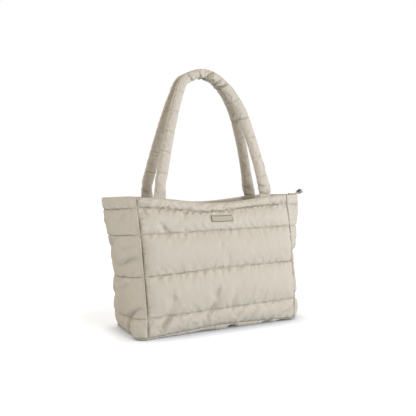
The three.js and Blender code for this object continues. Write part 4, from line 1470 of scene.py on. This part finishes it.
gunmetal = metalMaterial()
soften("zip_slider", "zipSlider", 0.00025, gunmetal, "bag")
soften("zip_pull", "zipPull", 0.0002, gunmetal, "pull")
soften("zip_end_tab", "zipEndTab", 0.0004, tapeCloth, "bag")
print("zip end finished")


# Stage and light
stageLook = {
    "floor": (0.82, 0.885, 0.955, 1),
    "seenShare": 0.6,  # how much of the floor's own light the camera sees, the rest is a neutral glow
    # the glow is weaker near the bag, a painted soft shade round it, and ambient occlusion dims it further, a
    # painted contact shadow
    "nearGlow": 0.66,
    "farGlow": 0.95,
    "glowFrom": 0.25,
    "glowTo": 0.6,
    "contactShadeReach": 0.042,
    "contactShadePower": 0.95,
    "world": 0.44,
    "worldColor": (1.2, 0.985, 0.775),
    "target": (0, 0, 0.25),
    "key": ((0.0, -3.1, 1.35), 0.8, 39, (0.94, 1, 1.09)),
    "side": ((2.6, -1.4, 0.9), 1.2, 36, (0.97, 1, 1.07)),
    "back": ((-2.4, 1.2, 1.1), 0.8, 18, (1, 1, 1)),
}


def aimedLight(name, place, size, power, color):
    light = bpy.data.lights.new(name, "AREA")
    light.size = size
    light.energy = power
    light.color = color
    thing = bpy.data.objects.new(name, light)
    bpy.context.scene.collection.objects.link(thing)
    thing.location = place
    x, y, z = np.array(stageLook["target"]) - np.array(place)
    thing.rotation_euler = (math.atan2(np.hypot(x, y), -z), 0, math.atan2(y, x) - math.pi / 2)


def makeStage():
    floor = makeMesh("floor", [(-6, -6, 0), (6, -6, 0), (6, 6, 0), (-6, 6, 0)], [(0, 1, 2, 3)])
    material, tree, shader = newMaterial("pale floor")
    isSeen = addNode(tree, "ShaderNodeLightPath").outputs["Is Camera Ray"]
    seenFloor = [stageLook["seenShare"] * part for part in stageLook["floor"][:3]] + [1]
    place = addNode(tree, "ShaderNodeTexCoord").outputs["Object"]
    # painted soft shade: the glow is weaker near the bag
    fades = {
        "Value": addNode(tree, "ShaderNodeVectorMath", {0: place}, operation="LENGTH").outputs["Value"],
        "From Min": stageLook["glowFrom"],
        "From Max": stageLook["glowTo"],
        "To Min": stageLook["nearGlow"],
        "To Max": stageLook["farGlow"],
    }
    fade = addNode(tree, "ShaderNodeMapRange", fades, interpolation_type="SMOOTHSTEP")
    # painted contact shadow: ambient occlusion dims the glow under and beside the bag
    contact = addNode(tree, "ShaderNodeAmbientOcclusion", {"Distance": stageLook["contactShadeReach"]})
    shade = mathNode(tree, "POWER", contact.outputs["AO"], stageLook["contactShadePower"])
    glow = mathNode(tree, "MULTIPLY", isSeen, fade.outputs["Result"])
    looks = {
        "Base Color": mixNode(tree, isSeen, stageLook["floor"], seenFloor),
        "Roughness": 1,
        "Specular IOR Level": 0,
        "Emission Color": (1, 1, 1, 1),
        "Emission Strength": mathNode(tree, "MULTIPLY", glow, shade),
    }
    fillInputs(tree, shader, looks)
    floor.data.materials.append(material)
    world = bpy.data.worlds.new("studio")
    world.use_nodes = True
    tree = world.node_tree
    isSeen = addNode(tree, "ShaderNodeLightPath").outputs["Is Camera Ray"]
    lit = [stageLook["world"] * part for part in stageLook["worldColor"]] + [1]
    fillInputs(tree, tree.nodes["Background"], {"Color": mixNode(tree, isSeen, lit, (1, 1, 1, 1))})
    bpy.context.scene.world = world
    for name in ("key", "side", "back"):
        aimedLight(name, *stageLook[name])
    bpy.context.scene.view_settings.view_transform = "Standard"


makeStage()
print("stage set")
